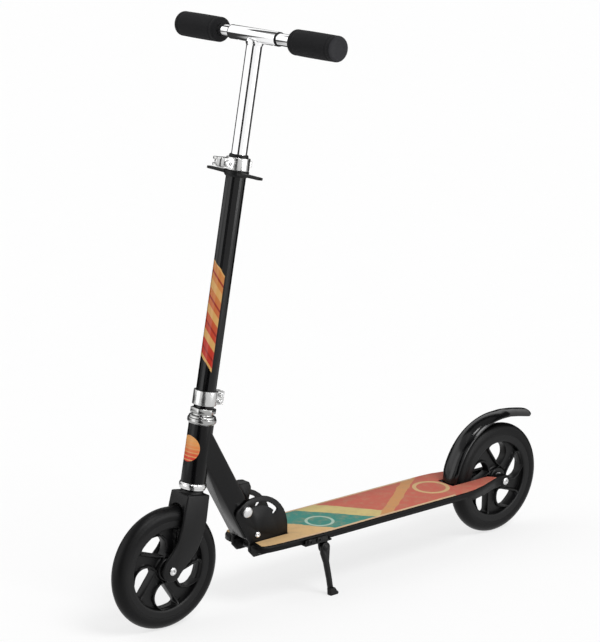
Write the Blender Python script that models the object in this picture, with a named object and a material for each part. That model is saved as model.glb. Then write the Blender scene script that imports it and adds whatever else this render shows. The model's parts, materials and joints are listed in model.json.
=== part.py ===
"""Folding kick scooter with a height-adjustable T handlebar, fender brake and side stand."""

import math

import bmesh
import bpy
import numpy as np
from mathutils import Matrix, Vector

# Every length is written in millimetres and every angle in degrees; meshes are made in metres.
mm = 0.001

# General fits
seat_gap = 0.3
bolt_gap = 0.3

# Sides of the round forms
wheel_steps = 32
tube_steps = 24
pin_steps = 16
screw_steps = 12

# Wheels
wheel_radius = 100.0
tyre_width = 28.0
tyre_depth = 20.6
rim_depth = 12.9
rim_width = 24.0
hub_radius = 19.0
hub_width = 24.6
web_half = 4.6
spokes = 5
front_wheel_phase = 36.3
rear_wheel_phase = 70.5
bearing_outer = 11.0
bearing_width = 7.0
axle_radius = 4.0

# Layout of the whole scooter, side view, origin on the ground midway between the wheels
lean = 3.0
wheelbase = 736.0
rake = 9.516
fork_offset = 34.4
pivot_setback = 170.0
pivot_rise = 12.8
tube_slope = 60.4
fold_range = 78.0

# Deck
deck_rise = 11.2
deck_half = 58.5
deck_depth = 11.2
deck_plate = 3.8
deck_lip = 3.2
deck_round = 3.4
slot_half = 17.8
notch_half = 20.3
arm_drop = 6.0
arm_end_radius = 11.2
rib_inner = 16.7
rib_thick = 2.9
rib_depth = 23.2
tape_thick = 0.7
tape_border = 1.2

# Folding joint
cheek_inner = 20.0
cheek_thick = 4.0
cheek_dome = 64.5
lock_track = 52.0
lock_drop = 5.5
lock_pin_radius = 3.0
lock_clearance = 0.5
knob_radius = 9.2
knob_thick = 8.0
lever_half = 12.0
fold_bolt_radius = 4.0

# Neck
tube_rear = -15.1
tube_front = 21.9
tube_half = 19.5
tube_wall = 2.5
head_length = 91.0
head_radius = 20.0
head_bore = 17.5

# Steering column, heights along the steering axis
steerer_radius = 13.5
steerer_bore = 11.0
steerer_rise = 68.0
crown_clearance = 22.0
crown_gap = 15.0
fork_half = 22.3
fork_inner = 17.5
column_radius = 16.0
column_bore = 13.8
column_length = 396.9
clamp_height = 19.5
clip_height = 10.3
stem_radius = 12.5
stem_bore = 11.0
stem_length = 409.0
bar_height = 846.0

# Handlebar
sleeve_radius = 11.15
sleeve_bore = 10.05
sleeve_half = 56.0
bar_radius = 9.65
bar_bore = 8.2
bar_inner_end = 5.0
bar_outer_end = 183.0
bar_offset = 5.5
grip_radius = 20.0
grip_start = 90.0
grip_end = 188.0
button_y = 42.0
button_radius = 3.2

# Fender brake
hinge_rise = 6.0
hinge_pin_radius = 2.5
fender_wall = 3.4
fender_clearance = 13.6
fender_half = 19.5

# Side stand
stand_setback = 118.0
stand_drop = 14.6
stand_face = 60.0
stand_thick = 7.0
stand_splay = 7.6

# Places that follow from the sizes above
front_x = wheelbase / 2
rear_x = -wheelbase / 2
axle_z = wheel_radius
rim_radius = wheel_radius - tyre_depth
rim_inner = rim_radius - rim_depth
pivot_x = front_x - pivot_setback
deck_top = axle_z + deck_rise
pivot_z = deck_top + pivot_rise
deck_edge_bottom = deck_top - deck_depth
rib_bottom = deck_top - rib_depth
arm_bottom = axle_z - arm_drop
fender_radius = wheel_radius + fender_clearance + fender_wall
hinge_x = rear_x + fender_radius - 5.0
hinge_z = axle_z + hinge_rise
slot_front = hinge_x + 7.0
crown_top = wheel_radius + crown_clearance
head_bottom = crown_top + crown_gap
head_top = head_bottom + head_length
steerer_top = head_top + steerer_rise
column_bottom = head_top + 31.6
column_top = column_bottom + column_length
clamp_top = column_top + 0.3
clamp_bottom = clamp_top - clamp_height
clip_bottom = clamp_bottom - clip_height
stem_bottom = bar_height - stem_length
stand_x = pivot_x - stand_setback
stand_z = axle_z - stand_drop


# Scene and materials

for old in list(bpy.data.objects):
    bpy.data.objects.remove(old, do_unlink=True)


def paint(name, colour, roughness, metallic):
    material = bpy.data.materials.new(name)
    material.use_nodes = True
    shader = material.node_tree.nodes["Principled BSDF"]
    shader.inputs["Base Color"].default_value = (*colour, 1.0)
    shader.inputs["Roughness"].default_value = roughness
    shader.inputs["Metallic"].default_value = metallic
    material.diffuse_color = (*colour, 1.0)
    return material


black_paint = paint("black powder coat", (0.022, 0.022, 0.024), 0.42, 0.0)
black_plastic = paint("black moulded plastic", (0.018, 0.018, 0.019), 0.35, 0.0)
black_rubber = paint("black wheel urethane", (0.016, 0.016, 0.017), 0.6, 0.0)
black_foam = paint("black foam", (0.014, 0.014, 0.014), 0.9, 0.0)
chrome = paint("chrome", (0.82, 0.82, 0.83), 0.08, 1.0)
bright_alloy = paint("brushed aluminium", (0.72, 0.72, 0.72), 0.3, 1.0)
zinc = paint("zinc-plated steel", (0.62, 0.62, 0.62), 0.35, 1.0)
bearing_steel = paint("bearing steel", (0.5, 0.5, 0.51), 0.25, 1.0)
spring_steel = paint("spring steel", (0.34, 0.34, 0.36), 0.4, 1.0)
dark_steel = paint("blackened steel", (0.05, 0.05, 0.052), 0.45, 1.0)
tape_grit = paint("printed grip tape", (0.62, 0.24, 0.16), 0.8, 0.0)


# Small tools for placing and shaping

def polar(radius, angle, centre=(0.0, 0.0)):
    turn = math.radians(angle)
    return (centre[0] + radius * math.cos(turn), centre[1] + radius * math.sin(turn))


def arc(centre, radius, start, end, count):
    return [polar(radius, start + (end - start) * i / count, centre) for i in range(count + 1)]


def corner(previous, point, following, radius, count=3):
    """The arc that rounds a polygon's corner, with the radius or the largest that fits."""
    here = Vector(point)
    before = Vector(previous) - here
    after = Vector(following) - here
    opening = before.angle(after)
    reach = min(radius / math.tan(opening / 2), before.length * 0.48, after.length * 0.48)
    if opening > math.radians(172) or reach < 0.05:
        return [tuple(here)]
    size = reach * math.tan(opening / 2)
    middle = (before.normalized() + after.normalized()).normalized()
    centre = here + middle * (size / math.sin(opening / 2))
    first = here + before.normalized() * reach - centre
    last = here + after.normalized() * reach - centre
    start = math.atan2(first.y, first.x)
    swing = math.remainder(math.atan2(last.y, last.x) - start, 2 * math.pi)
    return [
        (centre.x + size * math.cos(start + swing * step / count),
         centre.y + size * math.sin(start + swing * step / count))
        for step in range(count + 1)
    ]


def rounded(corners, radius, count=3):
    """The polygon with every corner rounded."""
    points = []
    for index, point in enumerate(corners):
        points += corner(corners[index - 1], point, corners[(index + 1) % len(corners)], radius, count)
    return points


def mirrored(points):
    """A half outline at positive y and its mirror image, as one closed loop."""
    return points + [(x, -y) for x, y in reversed(points)]


frames = {}


def empty(name, parent=None, place=(0, 0, 0), pitch=0.0, roll=0.0):
    """An empty at a place given in the scooter's own frame, pitched about Y and rolled about X."""
    turn = Matrix.Rotation(math.radians(pitch), 4, "Y") @ Matrix.Rotation(math.radians(roll), 4, "X")
    matrix = Matrix.Translation(Vector(place) * mm) @ turn
    marker = bpy.data.objects.new(name, None)
    marker.empty_display_size = 0.03
    bpy.context.collection.objects.link(marker)
    marker.parent = parent
    local = frames[parent.name].inverted() @ matrix if parent and parent.name in frames else matrix
    marker.location = local.to_translation()
    marker.rotation_euler = local.to_euler()
    frames[name] = matrix
    return marker


def add(name, shape, parent, material, place=(0, 0, 0), turn=(0, 0, 0), smooth=None):
    """An object from a bmesh drawn in millimetres, placed in its parent's frame."""
    bmesh.ops.recalc_face_normals(shape, faces=shape.faces)
    bmesh.ops.scale(shape, vec=(mm, mm, mm), verts=shape.verts)
    mesh = bpy.data.meshes.new(name)
    shape.to_mesh(mesh)
    shape.free()
    mesh.materials.append(material)
    if smooth:
        mesh.shade_smooth()
        mesh.set_sharp_from_angle(angle=math.radians(smooth))
    solid = bpy.data.objects.new(name, mesh)
    bpy.context.collection.objects.link(solid)
    solid.parent = parent
    solid.location = Vector(place) * mm
    solid.rotation_euler = [math.radians(value) for value in turn]
    return solid


def prism(outline, low, high, along="Y", holes=()):
    """An outline, with holes, extruded from low to high along one axis."""
    place = {
        "X": lambda a, b, h: (h, a, b),
        "Y": lambda a, b, h: (a, h, b),
        "Z": lambda a, b, h: (a, b, h),
    }[along]
    shape = bmesh.new()
    edges = []
    for loop in (outline, *holes):
        ring = [shape.verts.new(place(a, b, low)) for a, b in loop]
        if not holes:
            shape.faces.new(ring)
        else:
            edges += [shape.edges.new((ring[i - 1], ring[i])) for i in range(len(ring))]
    if holes:
        bmesh.ops.triangle_fill(shape, edges=edges, use_beauty=True)
    grown = bmesh.ops.extrude_face_region(shape, geom=shape.faces[:])
    moved = [item for item in grown["geom"] if isinstance(item, bmesh.types.BMVert)]
    bmesh.ops.translate(shape, verts=moved, vec=Vector(place(0, 0, high)) - Vector(place(0, 0, low)))
    return shape


def box(x0, x1, y0, y1, z0, z1):
    return prism([(x0, z0), (x1, z0), (x1, z1), (x0, z1)], y0, y1)


def turned(profile, steps, along="Z", closed=True):
    """A profile of radius and height turned about an axis; an open one starts and ends on it."""
    shape = bmesh.new()
    verts = [shape.verts.new((radius, 0.0, height)) for radius, height in profile]
    pairs = range(len(verts)) if closed else range(1, len(verts))
    edges = [shape.edges.new((verts[i - 1], verts[i])) for i in pairs]
    bmesh.ops.spin(
        shape, geom=verts + edges, cent=(0, 0, 0), axis=(0, 0, 1), dvec=(0, 0, 0),
        angle=2 * math.pi, steps=steps, use_duplicate=False,
    )
    bmesh.ops.remove_doubles(shape, verts=shape.verts, dist=0.0005)
    bmesh.ops.dissolve_degenerate(shape, edges=shape.edges, dist=0.0005)
    spun = {"Z": Matrix(), "Y": Matrix.Rotation(math.radians(-90), 3, "X"),
            "X": Matrix.Rotation(math.radians(90), 3, "Y")}[along]
    bmesh.ops.transform(shape, matrix=spun.to_4x4(), verts=shape.verts)
    return shape


def rod(radius, low, high, steps=24, along="Z", chamfer=0.0):
    """A round bar with chamfered ends."""
    profile = [(0, low), (radius - chamfer, low), (radius, low + chamfer)]
    profile += [(radius, high - chamfer), (radius - chamfer, high), (0, high)]
    if not chamfer:
        profile = [(0, low), (radius, low), (radius, high), (0, high)]
    return turned(profile, steps, along, closed=False)


def pipe(radius, bore, low, high, steps=24, along="Z", chamfer=0.0):
    """A round tube whose outer edges are chamfered."""
    profile = [(bore, low), (radius - chamfer, low), (radius, low + chamfer)]
    profile += [(radius, high - chamfer), (radius - chamfer, high), (bore, high)]
    if not chamfer:
        profile = [(bore, low), (radius, low), (radius, high), (bore, high)]
    return turned(profile, steps, along)


def loft(sections):
    """A solid through equal closed loops, capped at both ends."""
    shape = bmesh.new()
    rings = [[shape.verts.new(point) for point in section] for section in sections]
    for near, far in zip(rings, rings[1:]):
        for index in range(len(near)):
            shape.faces.new((near[index - 1], near[index], far[index], far[index - 1]))
    shape.faces.new(rings[0])
    shape.faces.new(rings[-1])
    return shape


def hexagon(across_flats, low, high, along="Z"):
    """A hexagonal prism standing on a flat."""
    corner = across_flats / math.sqrt(3)
    return prism([polar(corner, 30 + 60 * i) for i in range(6)], low, high, along)


def moved(shape, x=0.0, y=0.0, z=0.0):
    bmesh.ops.translate(shape, verts=shape.verts, vec=(x, y, z))
    return shape


def boolean(target, shape, operation, parent=None, place=(0, 0, 0), turn=(0, 0, 0), smooth=None):
    """A Boolean modifier whose tool stays in the scene as a wire guide."""
    count = len(target.modifiers)
    tool = add(f"guide.{target.name}.{count}", shape, parent or target.parent, target.active_material,
               place, turn, smooth)
    tool.hide_render = True
    tool.display_type = "WIRE"
    step = target.modifiers.new(f"{operation.lower()} {count}", "BOOLEAN")
    step.operation = operation
    step.solver = "EXACT"
    step.object = tool
    return step


def cut(target, shape, **where):
    return boolean(target, shape, "DIFFERENCE", **where)


def join(target, shape, **where):
    return boolean(target, shape, "UNION", **where)


def bevel(target, width, segments=2, angle=40.0):
    step = target.modifiers.new("edges", "BEVEL")
    step.width = width * mm
    step.segments = segments
    step.limit_method = "ANGLE"
    step.angle_limit = math.radians(angle)
    step.use_clamp_overlap = True
    return step


def bolt(head_radius, head_height, shank_radius, length, along="Y", steps=16):
    """A button-head bolt whose head starts at zero and whose shank runs to minus length."""
    profile = [(0, -length), (shank_radius, -length), (shank_radius, 0), (head_radius, 0)]
    profile += [(head_radius, head_height * 0.45), (head_radius * 0.66, head_height), (0, head_height)]
    return turned(profile, steps, along, closed=False)


def coil(name, parent, material, radius, wire, length, turns, place=(0, 0, 0), turn=(0, 0, 0), per_turn=8):
    """A helical spring, one unbroken tube of eight points to a turn, standing along its frame's Z."""
    count = turns * per_turn + 1
    angles = np.linspace(0.0, 2 * math.pi * turns, count)
    heights = np.linspace(wire, length - wire, count)
    points = np.stack([radius * np.cos(angles), radius * np.sin(angles), heights], axis=1)
    curve = bpy.data.curves.new(name, "CURVE")
    curve.dimensions = "3D"
    curve.bevel_depth = wire * mm
    curve.bevel_resolution = 1
    curve.use_fill_caps = True
    spline = curve.splines.new("POLY")
    spline.points.add(count - 1)
    for point, (x, y, z) in zip(spline.points, points):
        point.co = (x * mm, y * mm, z * mm, 1.0)
    spring = bpy.data.objects.new(name, curve)
    bpy.context.collection.objects.link(spring)
    curve.materials.append(material)
    spring.parent = parent
    spring.location = Vector(place) * mm
    spring.rotation_euler = [math.radians(value) for value in turn]
    gap = (length - 2 * wire) / turns - 2 * wire
    print(f"{name}: least gap between turns {gap:.2f} mm")
    return spring


# Frames that the pieces hang on

steer_x = front_x - fork_offset * math.cos(math.radians(rake))
steer_z = axle_z - fork_offset * math.sin(math.radians(rake))
bar_z = steer_z + bar_height * math.cos(math.radians(rake))
side_shift = -bar_z * math.sin(math.radians(lean)) - bar_offset * math.cos(math.radians(lean))

scooter = empty("scooter_lean")
scooter.location = (0.0, side_shift * mm, 0.0)
scooter.rotation_euler = (math.radians(-lean), 0.0, 0.0)
frames["scooter_lean"] = Matrix()
fold = empty("fold_axis", scooter, (pivot_x, 0, pivot_z), pitch=90 - tube_slope)
steering = empty("steering_axis", fold, (steer_x, 0, steer_z), pitch=-rake)


def on_column(forward, side, height):
    """A point of the steering frame in the scooter's own frame."""
    turn = math.radians(rake)
    x = steer_x + forward * math.cos(turn) - height * math.sin(turn)
    z = steer_z + forward * math.sin(turn) + height * math.cos(turn)
    return (x, side, z)


front_axle_frame = empty("front_wheel_axis", steering, (front_x, 0, axle_z))
rear_axle_frame = empty("rear_wheel_axis", scooter, (rear_x, 0, axle_z))
brake_hinge = empty("fender_brake_axis", scooter, (hinge_x, 0, hinge_z))
stand_hinge = empty("side_stand_axis", scooter, (stand_x, stand_face, stand_z), roll=stand_splay)
lever_x = 27.0
cam_radius = 7.3
ear_half = 9.0
lever_y = -ear_half - seat_gap - cam_radius
clamp_ear_low = clamp_bottom + 1.7
clamp_ear_high = clamp_top - 1.8
lever_s = (clamp_ear_low + clamp_ear_high) / 2
lever_hinge = empty("clamp_lever_axis", steering, on_column(lever_x, lever_y, lever_s), pitch=-rake)
bar_slide = empty("handlebar_slide", steering, on_column(0, 0, bar_height), pitch=-rake)
left_slide = empty("left_bar_slide", bar_slide, on_column(0, bar_offset + bar_inner_end, bar_height), pitch=-rake)
right_slide = empty("right_bar_slide", bar_slide, on_column(0, bar_offset - bar_inner_end, bar_height), pitch=-rake)


# Wheels

def wheel_opening(start):
    """One opening: a straight edge on the low-angle side and a bulging edge on the other."""
    outer = rim_inner - 1.1
    inner = hub_radius + 3.5
    middle = (outer + inner) / 2
    corners = [polar(outer, start), polar(outer + 0.4, start + 16), polar(outer, start + 31)]
    corners += [polar(outer - 9.4, start + 42), polar(middle - 1.95, start + 49.5), polar(inner + 6.5, start + 46)]
    corners += [polar(inner, start + 39)]
    return rounded(corners, 4.0, 1)


def wheel(prefix, parent, phase):
    crown = tyre_width / 2
    seat = rim_radius + seat_gap
    tread = [(wheel_radius - crown + crown * math.cos(a), crown * math.sin(a))
             for a in np.radians([-90, -58, -28, 0, 28, 58, 90])]
    tread += [(seat, crown - 1.6), (seat, 1.6 - crown)]
    add(f"{prefix}_tyre", turned(tread, wheel_steps, "Y"), parent, black_rubber, smooth=35)

    hub = hub_width / 2
    rim = rim_width / 2
    side = [(hub_radius, hub), (hub_radius + 1.5, web_half)]
    side += [(rim_inner - 0.3, web_half), (rim_inner, rim), (rim_radius, rim)]
    profile = [(0, -hub)] + [(r, -h) for r, h in side] + side[::-1] + [(0, hub)]
    core = add(f"{prefix}_wheel_core", turned(profile, wheel_steps, "Y", closed=False), parent, black_plastic,
               smooth=35)
    for index in range(spokes):
        cut(core, prism(wheel_opening(phase + index * 360 / spokes), -20, 20), smooth=35)
    pocket = bearing_outer + bolt_gap
    shoulder = hub - bearing_width
    bore = [(0, -20), (pocket, -20), (pocket, -shoulder), (8, -shoulder), (8, shoulder), (pocket, shoulder)]
    bore += [(pocket, 20), (0, 20)]
    cut(core, turned(bore, pin_steps, "Y", closed=False), smooth=35)

    start = shoulder + 0.1
    for name, low in (("left", start), ("right", -start - bearing_width)):
        bearing = pipe(bearing_outer, axle_radius + bolt_gap / 2, low, low + bearing_width, pin_steps, "Y")
        add(f"{prefix}_wheel_bearing_{name}", bearing, parent, bearing_steel, smooth=35)


wheel("front", front_axle_frame, front_wheel_phase)
wheel("rear", rear_axle_frame, rear_wheel_phase)


def axle(prefix, parent, outer, head=6.5):
    """Axle bolt and its nut."""
    reach = outer + seat_gap
    body = moved(bolt(head, 2.6, axle_radius, 2 * reach + 5.5), y=reach)
    add(f"{prefix}_axle", body, parent, zinc, smooth=35)
    nut = pipe(6.6, axle_radius + bolt_gap / 2, -reach - 5.0, -reach, pin_steps, "Y", 0.7)
    add(f"{prefix}_axle_nut", nut, parent, zinc, smooth=35)


def axle_bosses(target, parent, inner):
    """Bosses inside a fork or a pair of arms that stand against the wheel's bearings."""
    for side in (1, -1):
        faces = sorted((side * (hub_width / 2 + 0.4), side * (inner + 1.5)))
        join(target, rod(6.4, *faces, pin_steps, "Y"), parent=parent, smooth=35)


# Deck

def outline_by_ends(front, rear):
    """Half outline from points ahead of the fold pivot, then points ahead of the rear axle."""
    return [(pivot_x + x, y) for x, y in front] + [(rear_x + x, y) for x, y in rear]


nose = [(15, 24), (15, 30), (14, 38), (11, 45.5), (5, 49.5), (-5, 52), (-28, 54), (-57, 55.5)]
nose += [(-88, deck_half - 1), (-118, deck_half)]
tail = [(154, deck_half), (123, deck_half - 0.2), (101, 56.5), (74, 50), (46, 40.3), (24, 33), (12, 31), (-12, 31)]
deck_side = outline_by_ends(nose, tail)

deck = add("deck_frame", prism(mirrored(deck_side), rib_bottom, deck_top, "Z"), scooter, black_paint, smooth=35)
bevel(deck, deck_round, 2, 50)
start_angle = -math.degrees(math.asin((axle_z - arm_bottom) / arm_end_radius))
below = rib_bottom - 18
above = deck_top + 14
ahead = pivot_x + 32
behind = rear_x - 32
under = [(ahead, below), (ahead, deck_edge_bottom), (slot_front, deck_edge_bottom), (slot_front - 13, arm_bottom)]
under += arc((rear_x, axle_z), arm_end_radius, start_angle, -262, 9)
under += [(rear_x - 6, above), (behind, above), (behind, below)]
cut(deck, prism(under, -deck_half - 16.5, deck_half + 16.5))
cut(deck, box(behind, slot_front, -slot_half, slot_half, below, above))
cut(deck, box(pivot_x - 18, ahead, -notch_half, notch_half, below, above))
cheek_outer = cheek_inner + cheek_thick
cheek_heel = pivot_x - 48.0
pocket_rear = rear_x + 130
for side in (1, -1):
    faces = sorted((side * (cheek_inner - seat_gap), side * (cheek_outer + seat_gap)))
    cut(deck, box(cheek_heel - 1.0, ahead, *faces, below, above))
    edge = [(pocket_rear, 23), (pocket_rear, deck_half - 0.2 - deck_lip), (pivot_x - 118, deck_half - deck_lip)]
    edge += [(pivot_x - 88, deck_half - 1 - deck_lip), (pivot_x - 57, 55.5 - deck_lip)]
    edge += [(pivot_x - 30, 54 - deck_lip), (pivot_x - 30, 28), (pivot_x - 54, 28), (pivot_x - 54, 23)]
    pocket = [(x, side * y) for x, y in edge]
    cut(deck, prism(pocket, below, deck_top - deck_plate, "Z"))
cut(deck, box(pocket_rear, pivot_x - 26, -rib_inner + 0.1, rib_inner - 0.1, below, deck_top - deck_plate))
rib_top = deck_top - 2.9
rib_side = [(pocket_rear, rib_top), (pocket_rear, rib_bottom + 11), (pocket_rear + 33, rib_bottom)]
rib_side += [(pivot_x + 5, rib_bottom), (pivot_x + 13.5, rib_bottom + 9), (pivot_x + 13.5, rib_top)]
for side in (1, -1):
    faces = sorted((side * rib_inner, side * (rib_inner + rib_thick)))
    join(deck, prism(rounded(rib_side, 3), *faces))
cheek_bolt_places = ((pivot_x - 35.0, rib_bottom + 6.0), (pivot_x - 6.0, rib_bottom + 6.0))
for x, z in cheek_bolt_places:
    cut(deck, rod(3.0 + bolt_gap, -40, 40, screw_steps, "Y"), place=(x, 0, z))
axle_bosses(deck, rear_axle_frame, slot_half)
cut(deck, rod(axle_radius + bolt_gap / 2, -50, 50, 16, "Y"), place=(rear_x, 0, axle_z))
cut(deck, rod(hinge_pin_radius + bolt_gap / 2, -24, 24, 12, "Y"), place=(hinge_x, 0, hinge_z))

tape_notch = cheek_outer + 1.8
tape_slot = slot_half + 1.4
tape_nose = [(5, tape_notch), (8.6, 45.2), (4, 48.2)] + [(x, y - tape_border) for x, y in nose[5:]]
tape_tail = [(x, y - tape_border) for x, y in tail[:5]] + [(23.5, 31.5), (34, tape_slot)]
tape_side = outline_by_ends(tape_nose, tape_tail) + [(slot_front + 1, tape_slot)]
tape_front = [(cheek_heel - 18, tape_notch)]
tape_loop = tape_front + tape_side + [(x, -y) for x, y in reversed(tape_side)] + [(cheek_heel - 18, -tape_notch)]
tape_low = deck_top + seat_gap
add("grip_tape", prism(tape_loop, tape_low, tape_low + tape_thick, "Z"), scooter, tape_grit)


# Cheeks, pivot and lock track of the folding joint

def along_tube(offset, distance):
    """A point at an offset in front of the tube's line and a distance from the pivot, side view."""
    slope = math.radians(tube_slope)
    x = pivot_x + offset * math.sin(slope) + distance * math.cos(slope)
    z = pivot_z - offset * math.cos(slope) + distance * math.sin(slope)
    return (x, z)


def lock_slot(half):
    """The curved track of the lock pin, with an inward notch at each end that holds the neck."""
    centre = (pivot_x, pivot_z)
    first = tube_slope
    last = tube_slope + fold_range
    bottom = lock_track - lock_drop
    turn_in = math.degrees(math.asin(half / (lock_track - half)))
    points = arc(polar(lock_track, first, centre), half, first, first - 90, 2)
    points += arc(polar(bottom, first, centre), half, first - 90, first - 270, 4)
    points += arc(centre, lock_track - half, first + turn_in, last - turn_in, 8)
    points += arc(polar(bottom, last, centre), half, last - 90, last - 270, 4)
    points += arc(polar(lock_track, last, centre), half, last + 90, last, 2)
    points += arc(centre, lock_track + half, last, first, 9)[1:-1]
    return points


cheek_front = 18.8
front_top = math.sqrt(cheek_dome ** 2 - cheek_front ** 2)
dome = arc((pivot_x, pivot_z), cheek_dome, 60, 180, 12)
cheek_outline = [(cheek_heel, rib_bottom - 1.5), (pivot_x + 6, rib_bottom - 1.5), (pivot_x + 16, rib_bottom + 9.5)]
cheek_outline += [along_tube(cheek_front, -2.5)]
cheek_outline += corner(along_tube(cheek_front, 20), along_tube(cheek_front, front_top), dome[0], 10, 4)
cheek_outline += dome[1:] + [(pivot_x - cheek_dome, deck_top + seat_gap), (cheek_heel, deck_top + seat_gap)]
track = lock_slot(lock_pin_radius + lock_clearance)
for name, side in (("fold_cheek_left", 1), ("fold_cheek_right", -1)):
    faces = sorted((side * cheek_inner, side * cheek_outer))
    cheek = add(name, prism(cheek_outline, *faces), scooter, black_paint, smooth=35)
    bevel(cheek, 0.7, 1, 50)
    cut(cheek, prism(track, -40, 40), smooth=35)
    cut(cheek, rod(fold_bolt_radius + bolt_gap, -40, 40, 16, "Y"), place=(pivot_x, 0, pivot_z))
    for x, z in cheek_bolt_places:
        cut(cheek, rod(3.0 + bolt_gap, -40, 40, 12, "Y"), place=(x, 0, z))

grip = cheek_outer + seat_gap
pin = moved(bolt(5.2, 3.0, fold_bolt_radius, 2 * grip + 5), y=grip)
add("fold_pivot_bolt", pin, scooter, zinc, place=(pivot_x, 0, pivot_z), smooth=35)
nut = pipe(6.4, fold_bolt_radius + bolt_gap / 2, -grip - 4.6, -grip, pin_steps, "Y", 0.8)
add("fold_pivot_nut", nut, scooter, zinc, place=(pivot_x, 0, pivot_z), smooth=35)
rivet = [(0, -grip - 2.6), (3.2, -grip - 2.2), (5.2, -grip - 0.6), (5.2, -grip), (3.0, -grip), (3.0, grip)]
rivet += [(5.2, grip), (5.2, grip + 0.6), (3.2, grip + 2.2), (0, grip + 2.6)]
for name, (x, z) in zip(("rear", "front"), cheek_bolt_places):
    shape = turned(rivet, screw_steps, "Y", closed=False)
    add(f"cheek_rivet_{name}", shape, scooter, dark_steel, place=(x, 0, z), smooth=35)


# Neck: folding tube and head tube

def tube_frame(forward, height):
    """A point of the steering frame, side view, in the frame of the folding tube."""
    x, _, z = on_column(forward, 0, height)
    slope = math.radians(tube_slope)
    offset = (x - pivot_x) * math.sin(slope) - (z - pivot_z) * math.cos(slope)
    distance = (x - pivot_x) * math.cos(slope) + (z - pivot_z) * math.sin(slope)
    return (offset, distance)


top_offset, top_distance = tube_frame(0, head_top + 12)
low_offset, low_distance = tube_frame(0, head_bottom)
reach = (tube_front - low_offset) / (top_offset - low_offset)
front_end = (tube_front, low_distance + reach * (top_distance - low_distance))
reach = (tube_rear - low_offset) / (top_offset - low_offset)
rear_end = (tube_rear, low_distance + reach * (top_distance - low_distance))
foot = arc((0, 0), -tube_rear, 180, 318, 9)
neck_outline = [(tube_front, 9.4), front_end, rear_end] + foot
neck = add("neck_frame", prism(neck_outline, -tube_half, tube_half), fold, black_paint, smooth=35)
bevel(neck, 3.2, 2, 60)
bulkhead = 84.0
inner_half = tube_half - tube_wall
inner_rear = tube_rear + tube_wall
inner_front = tube_front - tube_wall
cut(neck, box(inner_rear, inner_front, -inner_half, inner_half, -30, bulkhead))
cavity = [(inner_rear, bulkhead + 3), (inner_front, bulkhead + 3), (inner_front, 138), (inner_rear, 180)]
cut(neck, prism(cavity, -inner_half, inner_half))
cut(neck, rod(4.0, bulkhead - 5, bulkhead + 8, 12))
join(neck, rod(head_radius, head_bottom, head_top, tube_steps), parent=steering, smooth=35)
bore = [(0, head_bottom - 40), (head_bore, head_bottom - 40), (head_bore, head_top), (45, head_top)]
bore += [(45, head_top + 40), (0, head_top + 40)]
cut(neck, turned(bore, tube_steps, closed=False), parent=steering, smooth=35)
bush_radius = 7.0
cut(neck, rod(bush_radius + bolt_gap / 2, -30, 30, pin_steps, "Y"), smooth=35)
slot_low = lock_track - lock_drop
slot = arc((0, slot_low), lock_pin_radius + 0.4, 180, 360, 6)
slot += arc((0, lock_track), lock_pin_radius + 0.4, 0, 180, 6)
cut(neck, prism(slot, -30, 30), smooth=35)
tongue_low = lock_track - 5.5
tongue_high = lock_track + 5.0
tongue_half = 8.0
cut(neck, box(-25, -8, -tongue_half - 0.5, tongue_half + 0.5, tongue_low - lock_drop - 0.8, tongue_high + 0.8))
bush = pipe(bush_radius, fold_bolt_radius + bolt_gap / 2, -cheek_inner + 0.2, cheek_inner - 0.2, pin_steps, "Y")
add("fold_pivot_bush", bush, fold, bright_alloy, smooth=35)


# Fold lock: pin, release lever and spring

pin_reach = cheek_outer + seat_gap
pin = [(0, -pin_reach - 5.6), (lock_pin_radius, -pin_reach - 5.6), (lock_pin_radius, pin_reach)]
pin += [(knob_radius, pin_reach), (knob_radius, pin_reach + knob_thick - 1.0)]
pin += [(knob_radius - 1.0, pin_reach + knob_thick), (0, pin_reach + knob_thick)]
add("lock_pin", turned(pin, 20, "Y", closed=False), fold, zinc, place=(0, 0, lock_track), smooth=35)
nut = pipe(8.4, lock_pin_radius + bolt_gap / 2, -pin_reach - 5.4, -pin_reach, pin_steps, "Y", 1.0)
add("lock_pin_nut", nut, fold, zinc, place=(0, 0, lock_track), smooth=35)
lever_side = [(44, 0.5), (44, 3.0), (53, 5.0), (61, 14.2), (66.5, 20), (70.5, 22.3), (78, 22.8), (81.5, 18.5)]
lever_side += [(86.5, 10), (91, 3.4), (91.5, 0.5)]
lever_sections = []
for reach, share in ((-1, 0.84), (-0.87, 0.95), (-0.7, 1), (0.7, 1), (0.87, 0.95), (1, 0.84)):
    section = [(0.5 + (out - 0.5) * share, 68 + (up - 68) * (0.7 + 0.3 * share)) for up, out in lever_side]
    lever_sections.append([(tube_rear - out, reach * lever_half, up) for out, up in section])
lever = add("release_lever", loft(lever_sections), fold, black_plastic, smooth=35)
finger = [(62.5, -1), (62.5, 11.5), (67.5, 17.2), (71.5, 19.6), (76.6, 19.9), (79, 16.8), (84, 8.2), (87, 2.4)]
finger += [(87.2, -1)]
cut(lever, prism([(tube_rear - out, up) for up, out in finger], 2.6 - lever_half, lever_half - 2.6))
join(lever, box(tube_rear - 2.5, 5.5, -tongue_half, tongue_half, tongue_low, tongue_high))
cut(lever, rod(lock_pin_radius + bolt_gap / 2, -30, 30, pin_steps, "Y"), place=(0, 0, lock_track), smooth=35)
coil("lock_spring", fold, spring_steel, 5.6, 0.8, bulkhead - tongue_high - 0.8, 5, (0, 0, tongue_high + 0.4))


# Fork, headset and column

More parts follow.
